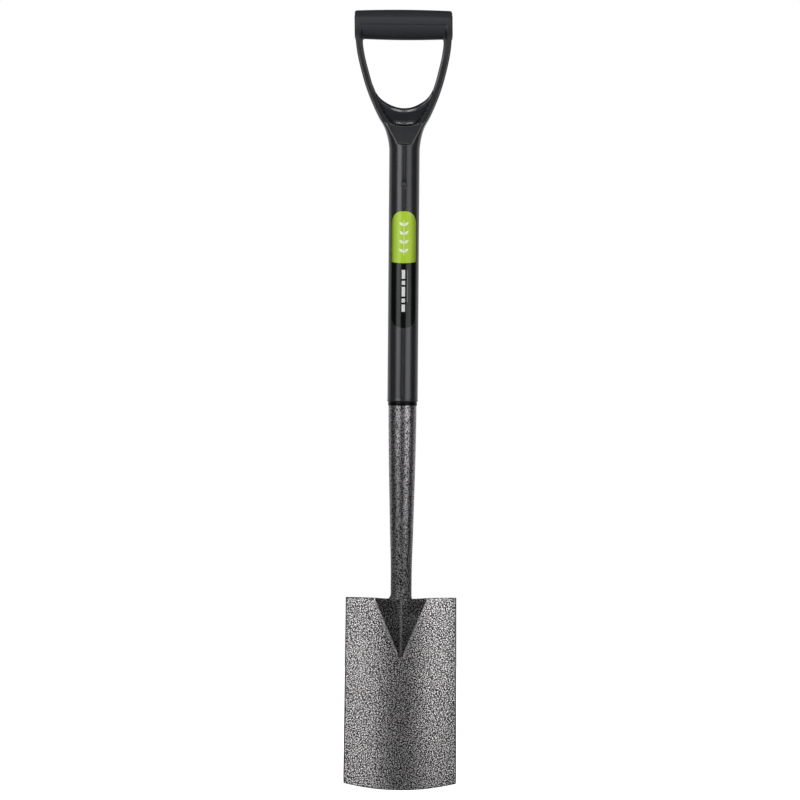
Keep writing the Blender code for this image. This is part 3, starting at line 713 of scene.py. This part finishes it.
def back_weld_mesh():
    """The bead round the tube's flattened end on the back of the frog."""
    half = []
    for z in (232.6, 227.0, 220.2, 212.4, 204.5, 196.6, 188.8, 182.0):
        a, front, back = tube_shape(z)
        bead = 1.9 + 1.7 * (z - 182.0) / 50.6
        mid, depth = (front + back) / 2, (back - front) / 2
        best = None
        for k in range(1, 60):
            t = math.pi * (0.45 + 0.45 * k / 60)
            nx, ny = math.sin(t) / a, -math.cos(t) / depth
            length = math.hypot(nx, ny)
            x = a * math.sin(t) + nx / length * bead * 0.55
            y = mid - depth * math.cos(t) + ny / length * bead * 0.55
            clear = (y - float(sheet_back(x, z))) - bead * 0.45
            if best is None or abs(clear) < abs(best[0]):
                best = (clear, x, y)
        half.append((best[1], best[2], z, bead))
    for x, z in ((5.4, 176.5), (4.4, 172.2), (2.6, 169.9)):
        half.append((x, float(sheet_back(x, z)) + 1.0, z, 1.9))
    tip = (0.0, float(sheet_back(0.0, 169.0)) + 1.0, 169.0, 1.9)
    path = half + [tip] + [(-x, y, z, b) for x, y, z, b in half[::-1]]
    path = spline(path, 9)
    rings = []
    for i, (x, y, z, r) in enumerate(path):
        tangent = path[min(len(path) - 1, i + 1)][:3] - path[max(0, i - 1)][:3]
        tangent /= np.linalg.norm(tangent)
        across = np.cross(tangent, (0, 1, 0))
        across /= np.linalg.norm(across)
        up = np.cross(across, tangent)
        r = r * (1 + 0.07 * math.sin(i * 1.25) + 0.03 * math.sin(i * 0.37))
        end = min(i, len(path) - 1 - i)
        r *= 0.45 + 0.55 * float(ease(end / 5))
        a = 2 * np.pi * np.arange(16) / 16
        rings.append(
            np.array([x, y, z]) + r * np.cos(a)[:, None] * across + 0.85 * r * np.sin(a)[:, None] * up
        )
    return loft(rings)


piece("frog_back_weld", *back_weld_mesh(), WELD_PAINT, node="back_weld", slot="weld_paint")


# ---------------------------------------------------------------------- grip
def mirrored(half, fine=6):
    p = spline([(-half[1][0], half[1][1])] + list(half), fine)[fine:]
    left = p[p[:, 0] > 1e-6][::-1] * np.array([-1.0, 1.0])
    return np.concatenate([left, p])


def signed_distance(px, pz, polygon):
    """Distance to a closed outline, negative inside it."""
    a = polygon
    b = np.roll(polygon, -1, axis=0)
    best = np.full(px.shape, 1e9)
    inside = np.zeros(px.shape, bool)
    for (ax, az), (bx, bz) in zip(a, b):
        dx, dz = bx - ax, bz - az
        length = dx * dx + dz * dz
        if length < 1e-12:
            continue
        t = np.clip(((px - ax) * dx + (pz - az) * dz) / length, 0, 1)
        best = np.minimum(best, (px - ax - t * dx) ** 2 + (pz - az - t * dz) ** 2)
        crosses = (az > pz) != (bz > pz)
        if dz != 0:
            inside ^= crosses & (px < (bx - ax) * (pz - az) / dz + ax)
    d = np.sqrt(best)
    return np.where(inside, -d, d)


class Field:
    """A 2D distance table over (x, z), read smoothly at any point."""

    def __init__(self, polygon, step=0.5, x=(0.0, 68.0), z=(726.0, 980.0), soften=0):
        self.x0, self.z0, self.step = x[0] - 4 * step, z[0], step
        xs = np.arange(self.x0, x[1], step)
        zs = np.arange(z[0], z[1], step)
        X, Z = np.meshgrid(xs, zs, indexing="ij")
        self.table = signed_distance(X, Z, polygon)
        # away from the outline, creases between its sides are smoothed out
        soft = self.table
        for _ in range(soften):
            p = np.pad(soft, 1, mode="edge")
            p[0, :] = p[min(2 * 4 + 1, p.shape[0] - 1), :]
            soft = (p[:-2, 1:-1] + p[2:, 1:-1] + p[1:-1, :-2] + p[1:-1, 2:] + 2 * p[1:-1, 1:-1]) / 6
        if soften:
            share = ease((-self.table - 0.5) / 3.0)
            self.table = self.table * (1 - share) + soft * share

    def __call__(self, x, z):
        fx = (x - self.x0) / self.step
        fz = (z - self.z0) / self.step
        nx, nz = self.table.shape
        fx = np.clip(fx, 0, nx - 1.001)
        fz = np.clip(fz, 0, nz - 1.001)
        i, k = fx.astype(int), fz.astype(int)
        a, b = fx - i, fz - k
        t = self.table
        return (
            t[i, k] * (1 - a) * (1 - b)
            + t[i + 1, k] * a * (1 - b)
            + t[i, k + 1] * (1 - a) * b
            + t[i + 1, k + 1] * a * b
        )


outside = [(a, z) for z, a in OUTLINE]
outside_line = spline(outside, 6)
outside_polygon = np.concatenate(
    [outside_line, outside_line[::-1] * np.array([-1.0, 1.0])]
)
opening_polygon = mirrored(OPENING)
pocket_polygon = mirrored(list(POCKET) + [(37.4, 900.0)])
OUTER = Field(outside_polygon)
INNER = Field(opening_polygon)
HOLLOW = Field(pocket_polygon, soften=18)


def smooth_min(a, b, k):
    h = np.clip(0.5 + 0.5 * (b - a) / k, 0, 1)
    return b + (a - b) * h - k * h * (1 - h)


def smooth_max(a, b, k):
    return -smooth_min(-a, -b, k)


def arm_depth(z):
    """Half depth of the D: it thickens towards the neck."""
    return smooth_max(ARM_DEPTH, ARM_DEPTH + (872.0 - z) * 0.045, 0.5)


def facet_depth(z):
    """How far the neck's flat facets stand from the middle plane."""
    ledge = 2.6 * (1.0 - ease((z - 800.6) / 3.0))
    return smooth_max(SLEEVE_R - 1.6 - (z - 797.0) * 0.115, arm_depth(z), 2.6) + ledge


def grip_field(x, y, z):
    """Signed distance of the grip's D and neck, about the shaft axis."""
    ax, ay = np.abs(x), np.abs(y)
    # the opening lies a little to the left of the D's middle
    aside = 0.6 * ease((z - 846.0) / 10.0)
    do, di, dp = OUTER(ax, z), INNER(np.abs(x + aside), z), HOLLOW(ax, z)
    # the crescent pocket: a hollow with a round foot, open to the D's opening
    t = np.maximum(-dp, 0.0)
    foot_slope = (1.0 - ease((z - 829.0) / 7.0)) * (1.0 - ease((ax - 7.0) / 9.0))
    bowl = 1 - (1 - np.minimum(t / 10.0, 1.0)) ** 2.5
    wall = ease(t / 1.2)
    thick = arm_depth(z)
    depth = thick - (thick - 9.2) * wall - 2.2 * (bowl * foot_slope + wall * (1 - foot_slope))
    depth = depth + 2.0 * np.maximum(dp, 0.0) * ease((829.0 - z) / 4.0)
    web = ease((-dp) / 12.0) * ease((884.0 - z) / 14.0)
    # the D: its outline carried through the depth, round outside
    a = do + 2.8
    b = ay - (thick - 2.8)
    frame_d = np.minimum(np.maximum(a, b), 0.0) + np.hypot(np.maximum(a, 0), np.maximum(b, 0)) - 2.8
    # its inside, bevelled on the arms and rolled over at the pocket's rim
    edge = 0.7 + 2.2 * web
    bevel = 0.40 * np.maximum(0.0, 2.9 - np.maximum(di, 0.0)) * (1 - web)
    bevel = bevel + 0.27 * np.maximum(0.0, 6.0 - np.maximum(di, 0.0)) * web
    a = -di + edge
    b = ay - (depth - bevel - edge)
    inner = np.minimum(np.maximum(a, b), 0.0) + np.hypot(np.maximum(a, 0), np.maximum(b, 0)) - edge
    # the neck: a round section that widens into the D
    half = hermite(OUTLINE, z)
    power = 2.0 + 1.3 * ease((z - 800.0) / 27.0)
    q = ((ax / half) ** power + (ay / SLEEVE_R) ** power) ** (1 / power)
    neck = (q - 1.0) * np.minimum(half, SLEEVE_R)
    m = ease((z - 822.0) / 14.0)
    body = neck * (1 - m) + frame_d * m
    body = smooth_max(body, ay - facet_depth(z), 0.9)
    body = smooth_max(body, inner, 0.5)
    # the hand bar: a full round over a face that is set back by a step
    level = ease((952.3 - z) / 1.1) * ease((54.3 - ax) / 1.1)
    groove = np.exp(-(((z - 951.6) / 0.75) ** 2)) * ease((54.3 - ax) / 1.1)
    side = np.exp(-(((ax - 53.6) / 0.75) ** 2)) * ease((952.3 - z) / 1.1)
    inset = 0.45 * level + 0.22 * np.maximum(groove, side)
    bow = (ax / 60.9) ** 2
    top = OVERALL - 1.3 * bow
    foot = 934.2 + 1.0 * np.minimum(1.0, (ax / 48.0) ** 2)
    up = np.where(z > 950.8, top - 950.8, 950.8 - foot)
    w = (np.abs(z - 950.8) / up) ** 2.25 + (ay / (14.5 - inset)) ** 2.25
    bar = (w ** (1 / 2.25) - 1.0) * 14.5
    a = bar + 2.3
    b = ax - (60.9 - 2.3)
    bar = np.minimum(np.maximum(a, b), 0.0) + np.hypot(np.maximum(a, 0), np.maximum(b, 0)) - 2.3
    return smooth_min(body, bar, 2.6)


def surface_net(field, lo, hi, step):
    """Quads on a field's zero surface, one point in each cell that it crosses."""
    axes = [np.arange(lo[i], hi[i] + step * 0.5, step) for i in range(3)]
    X, Y, Z = np.meshgrid(*axes, indexing="ij")
    F = field(X, Y, Z)
    inside = F < 0
    nx, ny, nz = F.shape
    total = np.zeros((nx - 1, ny - 1, nz - 1, 3))
    count = np.zeros((nx - 1, ny - 1, nz - 1))
    edges = []
    for axis in range(3):
        s0 = [slice(None)] * 3
        s1 = [slice(None)] * 3
        s0[axis], s1[axis] = slice(0, -1), slice(1, None)
        f0, f1 = F[tuple(s0)], F[tuple(s1)]
        change = inside[tuple(s0)] != inside[tuple(s1)]
        I = np.argwhere(change)
        a, b = f0[change], f1[change]
        t = a / (a - b)
        point = I.astype(float)
        point[:, axis] += t
        edges.append((axis, I, inside[tuple(s0)][change]))
        others = [k for k in range(3) if k != axis]
        for da in (0, -1):
            for db in (0, -1):
                cell = I.copy()
                cell[:, others[0]] += da
                cell[:, others[1]] += db
                ok = (
                    (cell[:, 0] >= 0) & (cell[:, 0] < nx - 1)
                    & (cell[:, 1] >= 0) & (cell[:, 1] < ny - 1)
                    & (cell[:, 2] >= 0) & (cell[:, 2] < nz - 1)
                )
                c = cell[ok]
                for k in range(3):
                    np.add.at(total[..., k], (c[:, 0], c[:, 1], c[:, 2]), point[ok, k])
                np.add.at(count, (c[:, 0], c[:, 1], c[:, 2]), 1)
    used = count > 0
    number = np.full(count.shape, -1)
    number[used] = np.arange(int(used.sum()))
    verts = total[used] / count[used][:, None] * step + np.array([axes[0][0], axes[1][0], axes[2][0]])
    faces = []
    for axis, I, first_in in edges:
        u, v = [k for k in range(3) if k != axis]
        ok = (I[:, u] > 0) & (I[:, v] > 0) & (I[:, u] < count.shape[u]) & (I[:, v] < count.shape[v])
        J, sign = I[ok], first_in[ok]
        quad = []
        for da, db in ((0, 0), (-1, 0), (-1, -1), (0, -1)):
            c = J.copy()
            c[:, u] += da
            c[:, v] += db
            quad.append(number[c[:, 0], c[:, 1], c[:, 2]])
        quad = np.stack(quad, -1)
        flip = sign if axis != 1 else ~sign
        quad[flip] = quad[flip][:, ::-1]
        faces.append(quad)
    return verts, np.concatenate(faces)


def project(field, P, rounds=3, limit=0.5):
    """Moves points onto the field's zero surface."""
    for _ in range(rounds):
        e = 0.15
        f = field(P[:, 0], P[:, 1], P[:, 2])
        g = np.stack(
            [
                field(P[:, 0] + e, P[:, 1], P[:, 2]) - field(P[:, 0] - e, P[:, 1], P[:, 2]),
                field(P[:, 0], P[:, 1] + e, P[:, 2]) - field(P[:, 0], P[:, 1] - e, P[:, 2]),
                field(P[:, 0], P[:, 1], P[:, 2] + e) - field(P[:, 0], P[:, 1], P[:, 2] - e),
            ],
            -1,
        ) / (2 * e)
        size = np.maximum((g * g).sum(-1), 0.05)
        move = -(f / size)[:, None] * g
        length = np.linalg.norm(move, axis=1)
        move *= np.minimum(1.0, limit / np.maximum(length, 1e-9))[:, None]
        P = P + move
    return P


def grip_mesh():
    step = 0.75
    cut = 792.0
    z_low = cut - 2 * step
    verts, faces = surface_net(grip_field, (-65.0, -20.2, z_low), (65.0, 20.2, 976.0), step)
    verts = project(grip_field, verts)
    # open the mesh at the cut and give its rim the sleeve's exact circle
    keep = (verts[faces][:, :, 2] > cut).all(axis=1)
    faces = faces[keep]
    used = np.unique(faces)
    remap = np.full(len(verts), -1)
    remap[used] = np.arange(len(used))
    verts, faces = verts[used], remap[faces]
    e = np.concatenate([faces[:, [0, 1]], faces[:, [1, 2]], faces[:, [2, 3]], faces[:, [3, 0]]])
    key = np.sort(e, axis=1)
    _, inverse, counts = np.unique(key, axis=0, return_inverse=True, return_counts=True)
    rim_edges = e[counts[inverse] == 1]
    following = {int(a): int(b) for a, b in rim_edges}
    first = int(rim_edges[0][0])
    loop = [first]
    while following[loop[-1]] != first:
        loop.append(following[loop[-1]])
    loop = np.array(loop)
    angle = np.arctan2(verts[loop, 0], -verts[loop, 1])
    n = len(loop)
    # even out the angles a little so that no rim quad is thin
    unwrapped = np.unwrap(angle)
    direction = 1.0 if unwrapped[-1] > unwrapped[0] else -1.0
    even = unwrapped.mean() + direction * 2 * np.pi * (np.arange(n) - (n - 1) / 2) / n
    angles = even

    def ring(r, z):
        return np.stack([r * np.sin(angles), -r * np.cos(angles), np.full(n, z)], -1)

    rings = [ring(SLEEVE_R, 790.0)]
    for z in np.linspace(783.0, SLEEVE_END + 9.0, 64):
        rings.append(ring(SLEEVE_R, z))
    # the lip: a soft swell, then a rounded drop into the recessed end
    for dz, r in (
        (7.8, SLEEVE_R + 0.02),
        (7.2, SLEEVE_R + 0.10),
        (6.6, LIP_R - 0.02),
        (6.0, LIP_R),
        (5.4, LIP_R - 0.08),
        (5.0, LIP_R - 0.34),
        (4.8, LIP_R - 0.8),
        (4.74, SLEEVE_R - 1.03),
        (3.9, SLEEVE_R - 1.05),
        (3.5, SLEEVE_R - 0.97),
        (3.1, SLEEVE_R - 0.79),
        (1.7, SLEEVE_R - 0.77),
        (1.1, SLEEVE_R - 0.85),
        (0.5, SLEEVE_R - 0.97),
        (0.1, SLEEVE_R - 1.03),
        (0.0, BORE_R + 0.05),
        (0.3, BORE_R),
        (40.0, BORE_R),
        (200.0, BORE_R),
        (BORE_TOP - SLEEVE_END, BORE_R),
    ):
        rings.append(ring(r, SLEEVE_END + dz))
    base = len(verts)
    all_verts = [verts] + rings
    new = [loop] + [base + k * n + np.arange(n) for k in range(len(rings))]
    all_faces = [tuple(f) for f in faces]
    for a, b in zip(new[:-1], new[1:]):
        a2, b2 = np.roll(a, -1), np.roll(b, -1)
        all_faces += list(zip(a, a2, b2, b))
    all_faces.append(tuple(new[-1]))
    return np.concatenate(all_verts), all_faces


grip = piece("handle_moulding", *grip_mesh(), BLACK, node="d_grip", slot="black_moulding", smooth=180.0)


def mark_creases(ob):
    """Stores a painted shade for each point, strongest in the pocket's creases and at the bar's ends, for the
    moulding's colour.
    """
    mesh = ob.data
    p = np.zeros(len(mesh.vertices) * 3)
    mesh.vertices.foreach_get("co", p)
    p = p.reshape(-1, 3) / MM
    ax, ay, z = np.abs(p[:, 0] + lean(p[:, 2])), np.abs(p[:, 1] - AXIS_Y), p[:, 2]
    dp = HOLLOW(ax, z)
    # round the pocket, fading up the arms
    side = ease((ax - 7.0) / 6.0)
    painted_shade = 0.96 * np.exp(-(((dp + 0.5 + 0.3 * side) / (0.95 + 0.45 * side)) ** 2)) * ease((878.0 - z) / 12.0)
    painted_shade = painted_shade * (z > 800.0) * (ay > 6.9)
    # at the two ends of the bar's set-back face
    wide = 1.1 + 1.5 * ease((944.0 - z) / 6.0)
    ends = 0.85 * np.exp(-(((ax - 52.4) / wide) ** 2)) * ease((949.0 - z) / 6.0) * ease((z - 933.0) / 2.5)
    painted_shade = np.maximum(painted_shade, ends * (ay > 9.0))
    layer = mesh.attributes.new("crease", "FLOAT", "POINT")
    layer.data.foreach_set("value", painted_shade.astype(np.float32))


def cut_seats(ob):
    """Sunk round seats for the rivet's heads, front and back."""
    for sign in (-1, 1):
        bm = bmesh.new()
        profile = [(0.0, 18.07), (3.75, 18.07), (3.78, 18.5), (3.9, 18.75), (4.25, 19.02), (5.2, 19.95), (5.2, 24.0), (0.0, 24.0)]
        sides = 48
        rings = []
        for r, y in profile:
            if r == 0.0:
                rings.append([bm.verts.new((0, (sign * y + AXIS_Y) * MM, RIVET_Z * MM))] * sides)
            else:
                rings.append(
                    [
                        bm.verts.new(
                            (
                                r * math.cos(2 * math.pi * i / sides) * MM,
                                (sign * y + AXIS_Y) * MM,
                                (RIVET_Z + r * math.sin(2 * math.pi * i / sides)) * MM,
                            )
                        )
                        for i in range(sides)
                    ]
                )
        for a, b in zip(rings[:-1], rings[1:]):
            for i in range(sides):
                j = (i + 1) % sides
                corners = []
                for vert in (a[i], a[j], b[j], b[i]):
                    if vert not in corners:
                        corners.append(vert)
                if len(corners) > 2:
                    bm.faces.new(corners)
        bmesh.ops.recalc_face_normals(bm, faces=bm.faces)
        mesh = bpy.data.meshes.new("seat_form")
        bm.to_mesh(mesh)
        bm.free()
        cutter = bpy.data.objects.new("seat_form", mesh)
        SCENE.collection.objects.link(cutter)
        mod = ob.modifiers.new("seat", "BOOLEAN")
        mod.operation = "DIFFERENCE"
        mod.solver = "EXACT"
        mod.object = cutter
        bpy.context.view_layer.update()
        done = bpy.data.meshes.new_from_object(ob.evaluated_get(bpy.context.evaluated_depsgraph_get()))
        ob.modifiers.clear()
        ob.data = done
        bpy.data.objects.remove(cutter)


cut_seats(grip)
mark_creases(grip)
grip.data.shade_smooth()
grip.data.set_sharp_from_angle(angle=math.radians(48))


def parting_line_mesh(sign):
    """The thin line that the mould leaves along the sleeve."""
    rings = []
    for z in np.linspace(SLEEVE_END + 9.0, 798.0, 120):
        if LABEL_LOW - 1 < z < LABEL_HIGH + 1 and sign < 0:
            continue
        if abs(z - RIVET_Z) < 5.2:
            continue
        rings.append(z)
    groups, last = [], None
    for z in rings:
        if last is None or z - last > 4.0:
            groups.append([])
        groups[-1].append(z)
        last = z
    verts, faces = [], []
    for g in groups:
        shape = [(-0.55, -0.2), (-0.42, 0.08), (-0.22, 0.24), (0.0, 0.3), (0.22, 0.24), (0.42, 0.08), (0.55, -0.2), (0.0, -0.6)]
        zs = [g[0] - 0.5] + g + [g[-1] + 0.5]
        section = []
        for i, z in enumerate(zs):
            k = 0.2 if i in (0, len(zs) - 1) else 1.0
            section.append([(u * k, sign * (SLEEVE_R + w * (1.0 if k == 1.0 else 0.0) - (0.0 if k == 1.0 else 0.2)), z) for u, w in shape])
        v, f = loft(section)
        base = len(verts)
        verts += [tuple(p) for p in v]
        faces += [tuple(i + base for i in q) for q in f]
    return verts, faces


for sign, where in ((-1, "front"), (1, "back")):
    piece(f"parting_line_{where}", *parting_line_mesh(sign), BLACK, slot="black_moulding")


# --------------------------------------------------------------------- rivet
def rivet_mesh():
    profile = []
    for sign in (-1, 1):
        head = [
            (0.0, 18.57),
            (0.35, 18.58),
            (0.8, 18.69),
            (1.3, 18.79),
            (1.9, 18.79),
            (2.4, 18.69),
            (2.8, 18.51),
            (3.02, 18.31),
            (3.08, 18.15),
            (3.08, 18.05),
            (2.2, 18.03),
        ]
        points = [(r, sign * y) for r, y in head]
        profile += points if sign < 0 else points[::-1]
    sides = 48
    verts, faces, rows = [], [], []
    for r, y in profile:
        if r == 0.0:
            rows.append([len(verts)] * sides)
            verts.append((0.0, y, RIVET_Z))
        else:
            rows.append([len(verts) + i for i in range(sides)])
            verts += [
                (r * math.cos(2 * math.pi * i / sides), y, RIVET_Z + r * math.sin(2 * math.pi * i / sides))
                for i in range(sides)
            ]
    for a, b in zip(rows[:-1], rows[1:]):
        for i in range(sides):
            j = (i + 1) % sides
            corner = []
            for p in (a[i], a[j], b[j], b[i]):
                if p not in corner:
                    corner.append(p)
            if len(corner) > 2:
                faces.append(tuple(corner))
    return verts, faces


piece("sunk_rivet", *rivet_mesh(), RIVET, node="grip_rivet", slot="rivet_metal", smooth=50.0)


# --------------------------------------------------------------------- label
def label_mesh():
    wide = LABEL_R * math.radians(LABEL_HALF_ANGLE)
    corner = [LABEL_CORNER * (1 - math.cos(math.pi / 2 * k / 14)) for k in range(15)]
    heights = [LABEL_LOW + c for c in corner]
    heights += list(np.linspace(LABEL_LOW + LABEL_CORNER, LABEL_HIGH - LABEL_CORNER, 40))[1:-1]
    heights += [LABEL_HIGH - c for c in corner[::-1]]
    columns = 40
    inner, outer = LABEL_R - 0.22, LABEL_R + 0.0
    verts, rows = [], []
    for z in heights:
        inside = min(z - LABEL_LOW, LABEL_HIGH - z)
        half = wide
        if inside < LABEL_CORNER:
            d = LABEL_CORNER - inside
            half = wide - LABEL_CORNER + math.sqrt(max(0.0, LABEL_CORNER**2 - d * d))
        a = (2.0 * np.arange(columns + 1) / columns - 1) * half / LABEL_R
        rows.append(a)
    rows = np.array(rows)
    Z = np.repeat(np.array(heights)[:, None], columns + 1, axis=1)
    front = np.stack([outer * np.sin(rows), -outer * np.cos(rows), Z], -1).reshape(-1, 3)
    back = np.stack([inner * np.sin(rows), -inner * np.cos(rows), Z], -1).reshape(-1, 3)
    n = len(front)
    idx = np.arange(n).reshape(rows.shape)
    q = np.stack([idx[:-1, :-1], idx[:-1, 1:], idx[1:, 1:], idx[1:, :-1]], -1).reshape(-1, 4)
    loop = np.concatenate([idx[0, :-1], idx[:-1, -1], idx[-1, :0:-1], idx[:0:-1, 0]])
    side = np.stack([loop, np.roll(loop, -1), np.roll(loop, -1) + n, loop + n], -1)
    return np.concatenate([front, back]), np.concatenate([q, q[:, ::-1] + n, side])


piece("printed_label", *label_mesh(), FILM, node="label", slot="label_film", smooth=50.0)


# ------------------------------------------------------------ studio, camera
def panel(name, width, height, place, facing, radiance, colour=(1.0, 1.0, 1.0)):
    """A soft rectangular light of a given surface brightness."""
    data = bpy.data.lights.new(name, "AREA")
    data.shape = "RECTANGLE"
    data.size, data.size_y = width, height
    data.energy = radiance * math.pi * width * height
    data.color = colour
    ob = bpy.data.objects.new(name, data)
    SCENE.collection.objects.link(ob)
    x, y, z = place
    fx, fy, fz = facing
    away = np.array([x - fx, y - fy, z - fz])
    away = away / np.linalg.norm(away)
    right = np.cross((0, 0, 1), away)
    right /= np.linalg.norm(right)
    up = np.cross(away, right)
    ob.matrix_world = Matrix(
        (
            (right[0], up[0], away[0], x),
            (right[1], up[1], away[1], y),
            (right[2], up[2], away[2], z),
            (0, 0, 0, 1),
        )
    )
    ob.visible_camera = False
    return ob


def softbox(name, azimuth, radiance, width=1.0, low=0.22, high=2.3, distance=2.0):
    a = math.radians(azimuth)
    x, y = distance * math.sin(a), -distance * math.cos(a)
    z = (low + high) / 2
    return panel(name, width, high - low, (x, y, z), (0, 0, z), radiance)


softbox("softbox_left", -36.5, 3.1, width=1.15, low=0.38, high=0.75)
softbox("softbox_left_high", -36.8, 4.0, width=1.14, low=0.75, high=2.3)
softbox("softbox_right", 40.0, 3.0, width=1.40, low=0.20, high=0.75)
softbox("softbox_right_high", 37.0, 1.82, width=1.25, low=0.75, high=2.3)


def overhead(name, azimuth, elevation, radiance, width, height, distance=2.1, middle=0.88):
    a, e = math.radians(azimuth), math.radians(elevation)
    x, y = distance * math.cos(e) * math.sin(a), -distance * math.cos(e) * math.cos(a)
    return panel(name, width, height, (x, y, middle + distance * math.sin(e)), (0, 0, middle), radiance)


overhead("front_top", 0.0, 23.0, 0.36, 1.3, 0.95)
overhead("key_left", -6.6, 36.5, 8.6, 0.28, 0.26)
overhead("key_right", 7.2, 36.5, 8.7, 0.28, 0.26)

world = bpy.data.worlds.new("studio")
SCENE.world = world
world.use_nodes = True
wt = world.node_tree
for n in list(wt.nodes):
    wt.nodes.remove(n)
out = wt.nodes.new("ShaderNodeOutputWorld")
sky = wt.nodes.new("ShaderNodeBackground")
plain = wt.nodes.new("ShaderNodeBackground")
plain.inputs["Color"].default_value = (1, 1, 1, 1)
plain.inputs["Strength"].default_value = 1.0
mixer = wt.nodes.new("ShaderNodeMixShader")
path_node = wt.nodes.new("ShaderNodeLightPath")
coord = wt.nodes.new("ShaderNodeTexCoord")
sep = wt.nodes.new("ShaderNodeSeparateXYZ")
wt.links.new(coord.outputs["Generated"], sep.inputs[0])
back_wall = wt.nodes.new("ShaderNodeMapRange")
back_wall.interpolation_type = "SMOOTHSTEP"
back_wall.inputs["From Min"].default_value = 0.18
back_wall.inputs["From Max"].default_value = 0.50
back_wall.inputs["To Min"].default_value = 0.0
back_wall.inputs["To Max"].default_value = 0.75
wt.links.new(sep.outputs["Y"], back_wall.inputs["Value"])
# the bright wall behind stands no higher or lower than the spade
high = wt.nodes.new("ShaderNodeMath")
high.operation = "ABSOLUTE"
wt.links.new(sep.outputs["Z"], high.inputs[0])
band = wt.nodes.new("ShaderNodeMapRange")
band.interpolation_type = "SMOOTHSTEP"
band.inputs["From Min"].default_value = 0.30
band.inputs["From Max"].default_value = 0.55
band.inputs["To Min"].default_value = 1.0
band.inputs["To Max"].default_value = 0.1
wt.links.new(high.outputs[0], band.inputs["Value"])
level = wt.nodes.new("ShaderNodeMath")
level.operation = "MULTIPLY_ADD"
below = wt.nodes.new("ShaderNodeMapRange")
below.interpolation_type = "SMOOTHSTEP"
below.inputs["From Min"].default_value = -0.45
below.inputs["From Max"].default_value = -0.90
below.inputs["To Min"].default_value = 0.058
below.inputs["To Max"].default_value = 0.16
wt.links.new(sep.outputs["Z"], below.inputs["Value"])
wt.links.new(below.outputs["Result"], level.inputs[2])
wt.links.new(back_wall.outputs["Result"], level.inputs[0])
wt.links.new(band.outputs["Result"], level.inputs[1])
wt.links.new(level.outputs[0], sky.inputs["Strength"])
sky.inputs["Color"].default_value = (1, 1, 1, 1)
wt.links.new(path_node.outputs["Is Camera Ray"], mixer.inputs["Fac"])
wt.links.new(sky.outputs[0], mixer.inputs[1])
wt.links.new(plain.outputs[0], mixer.inputs[2])
wt.links.new(mixer.outputs[0], out.inputs["Surface"])

# a plain pale floor
floor_mesh = bpy.data.meshes.new("floor")
ring = [(1.6 * math.cos(2 * math.pi * i / 96), 1.6 * math.sin(2 * math.pi * i / 96), -0.0002) for i in range(96)]
floor_mesh.from_pydata(ring, [], [tuple(range(96))])
floor = bpy.data.objects.new("floor", floor_mesh)
SCENE.collection.objects.link(floor)
floor_mat = bpy.data.materials.new("pale_floor")
floor_mat.use_nodes = True
fs = floor_mat.node_tree.nodes["Principled BSDF"]
fs.inputs["Base Color"].default_value = (0.86, 0.86, 0.86, 1)
fs.inputs["Roughness"].default_value = 0.9
fs.inputs["Specular IOR Level"].default_value = 0.1
fs.inputs["Emission Color"].default_value = (1, 1, 1, 1)
fs.inputs["Emission Strength"].default_value = 1.0
floor_mesh.materials.append(floor_mat)
floor.visible_glossy = False
floor.visible_diffuse = False

SCENE.view_settings.view_transform = "Standard"
SCENE.view_settings.look = "None"

camera_data = bpy.data.cameras.new("camera")
camera_data.lens = 126.0
camera_data.sensor_width = 36.0
camera_data.clip_start = 0.05
camera_data.clip_end = 60.0
camera = bpy.data.objects.new("camera", camera_data)
SCENE.collection.objects.link(camera)
camera.matrix_world = (
    Matrix.Translation((-0.0032, AXIS_Y * MM - 3.5, 0.4843))
    @ Matrix.Rotation(math.radians(90.0), 4, "X")
    @ Matrix.Rotation(math.radians(0.44), 4, "Z")
)
SCENE.camera = camera

bpy.context.view_layer.update()
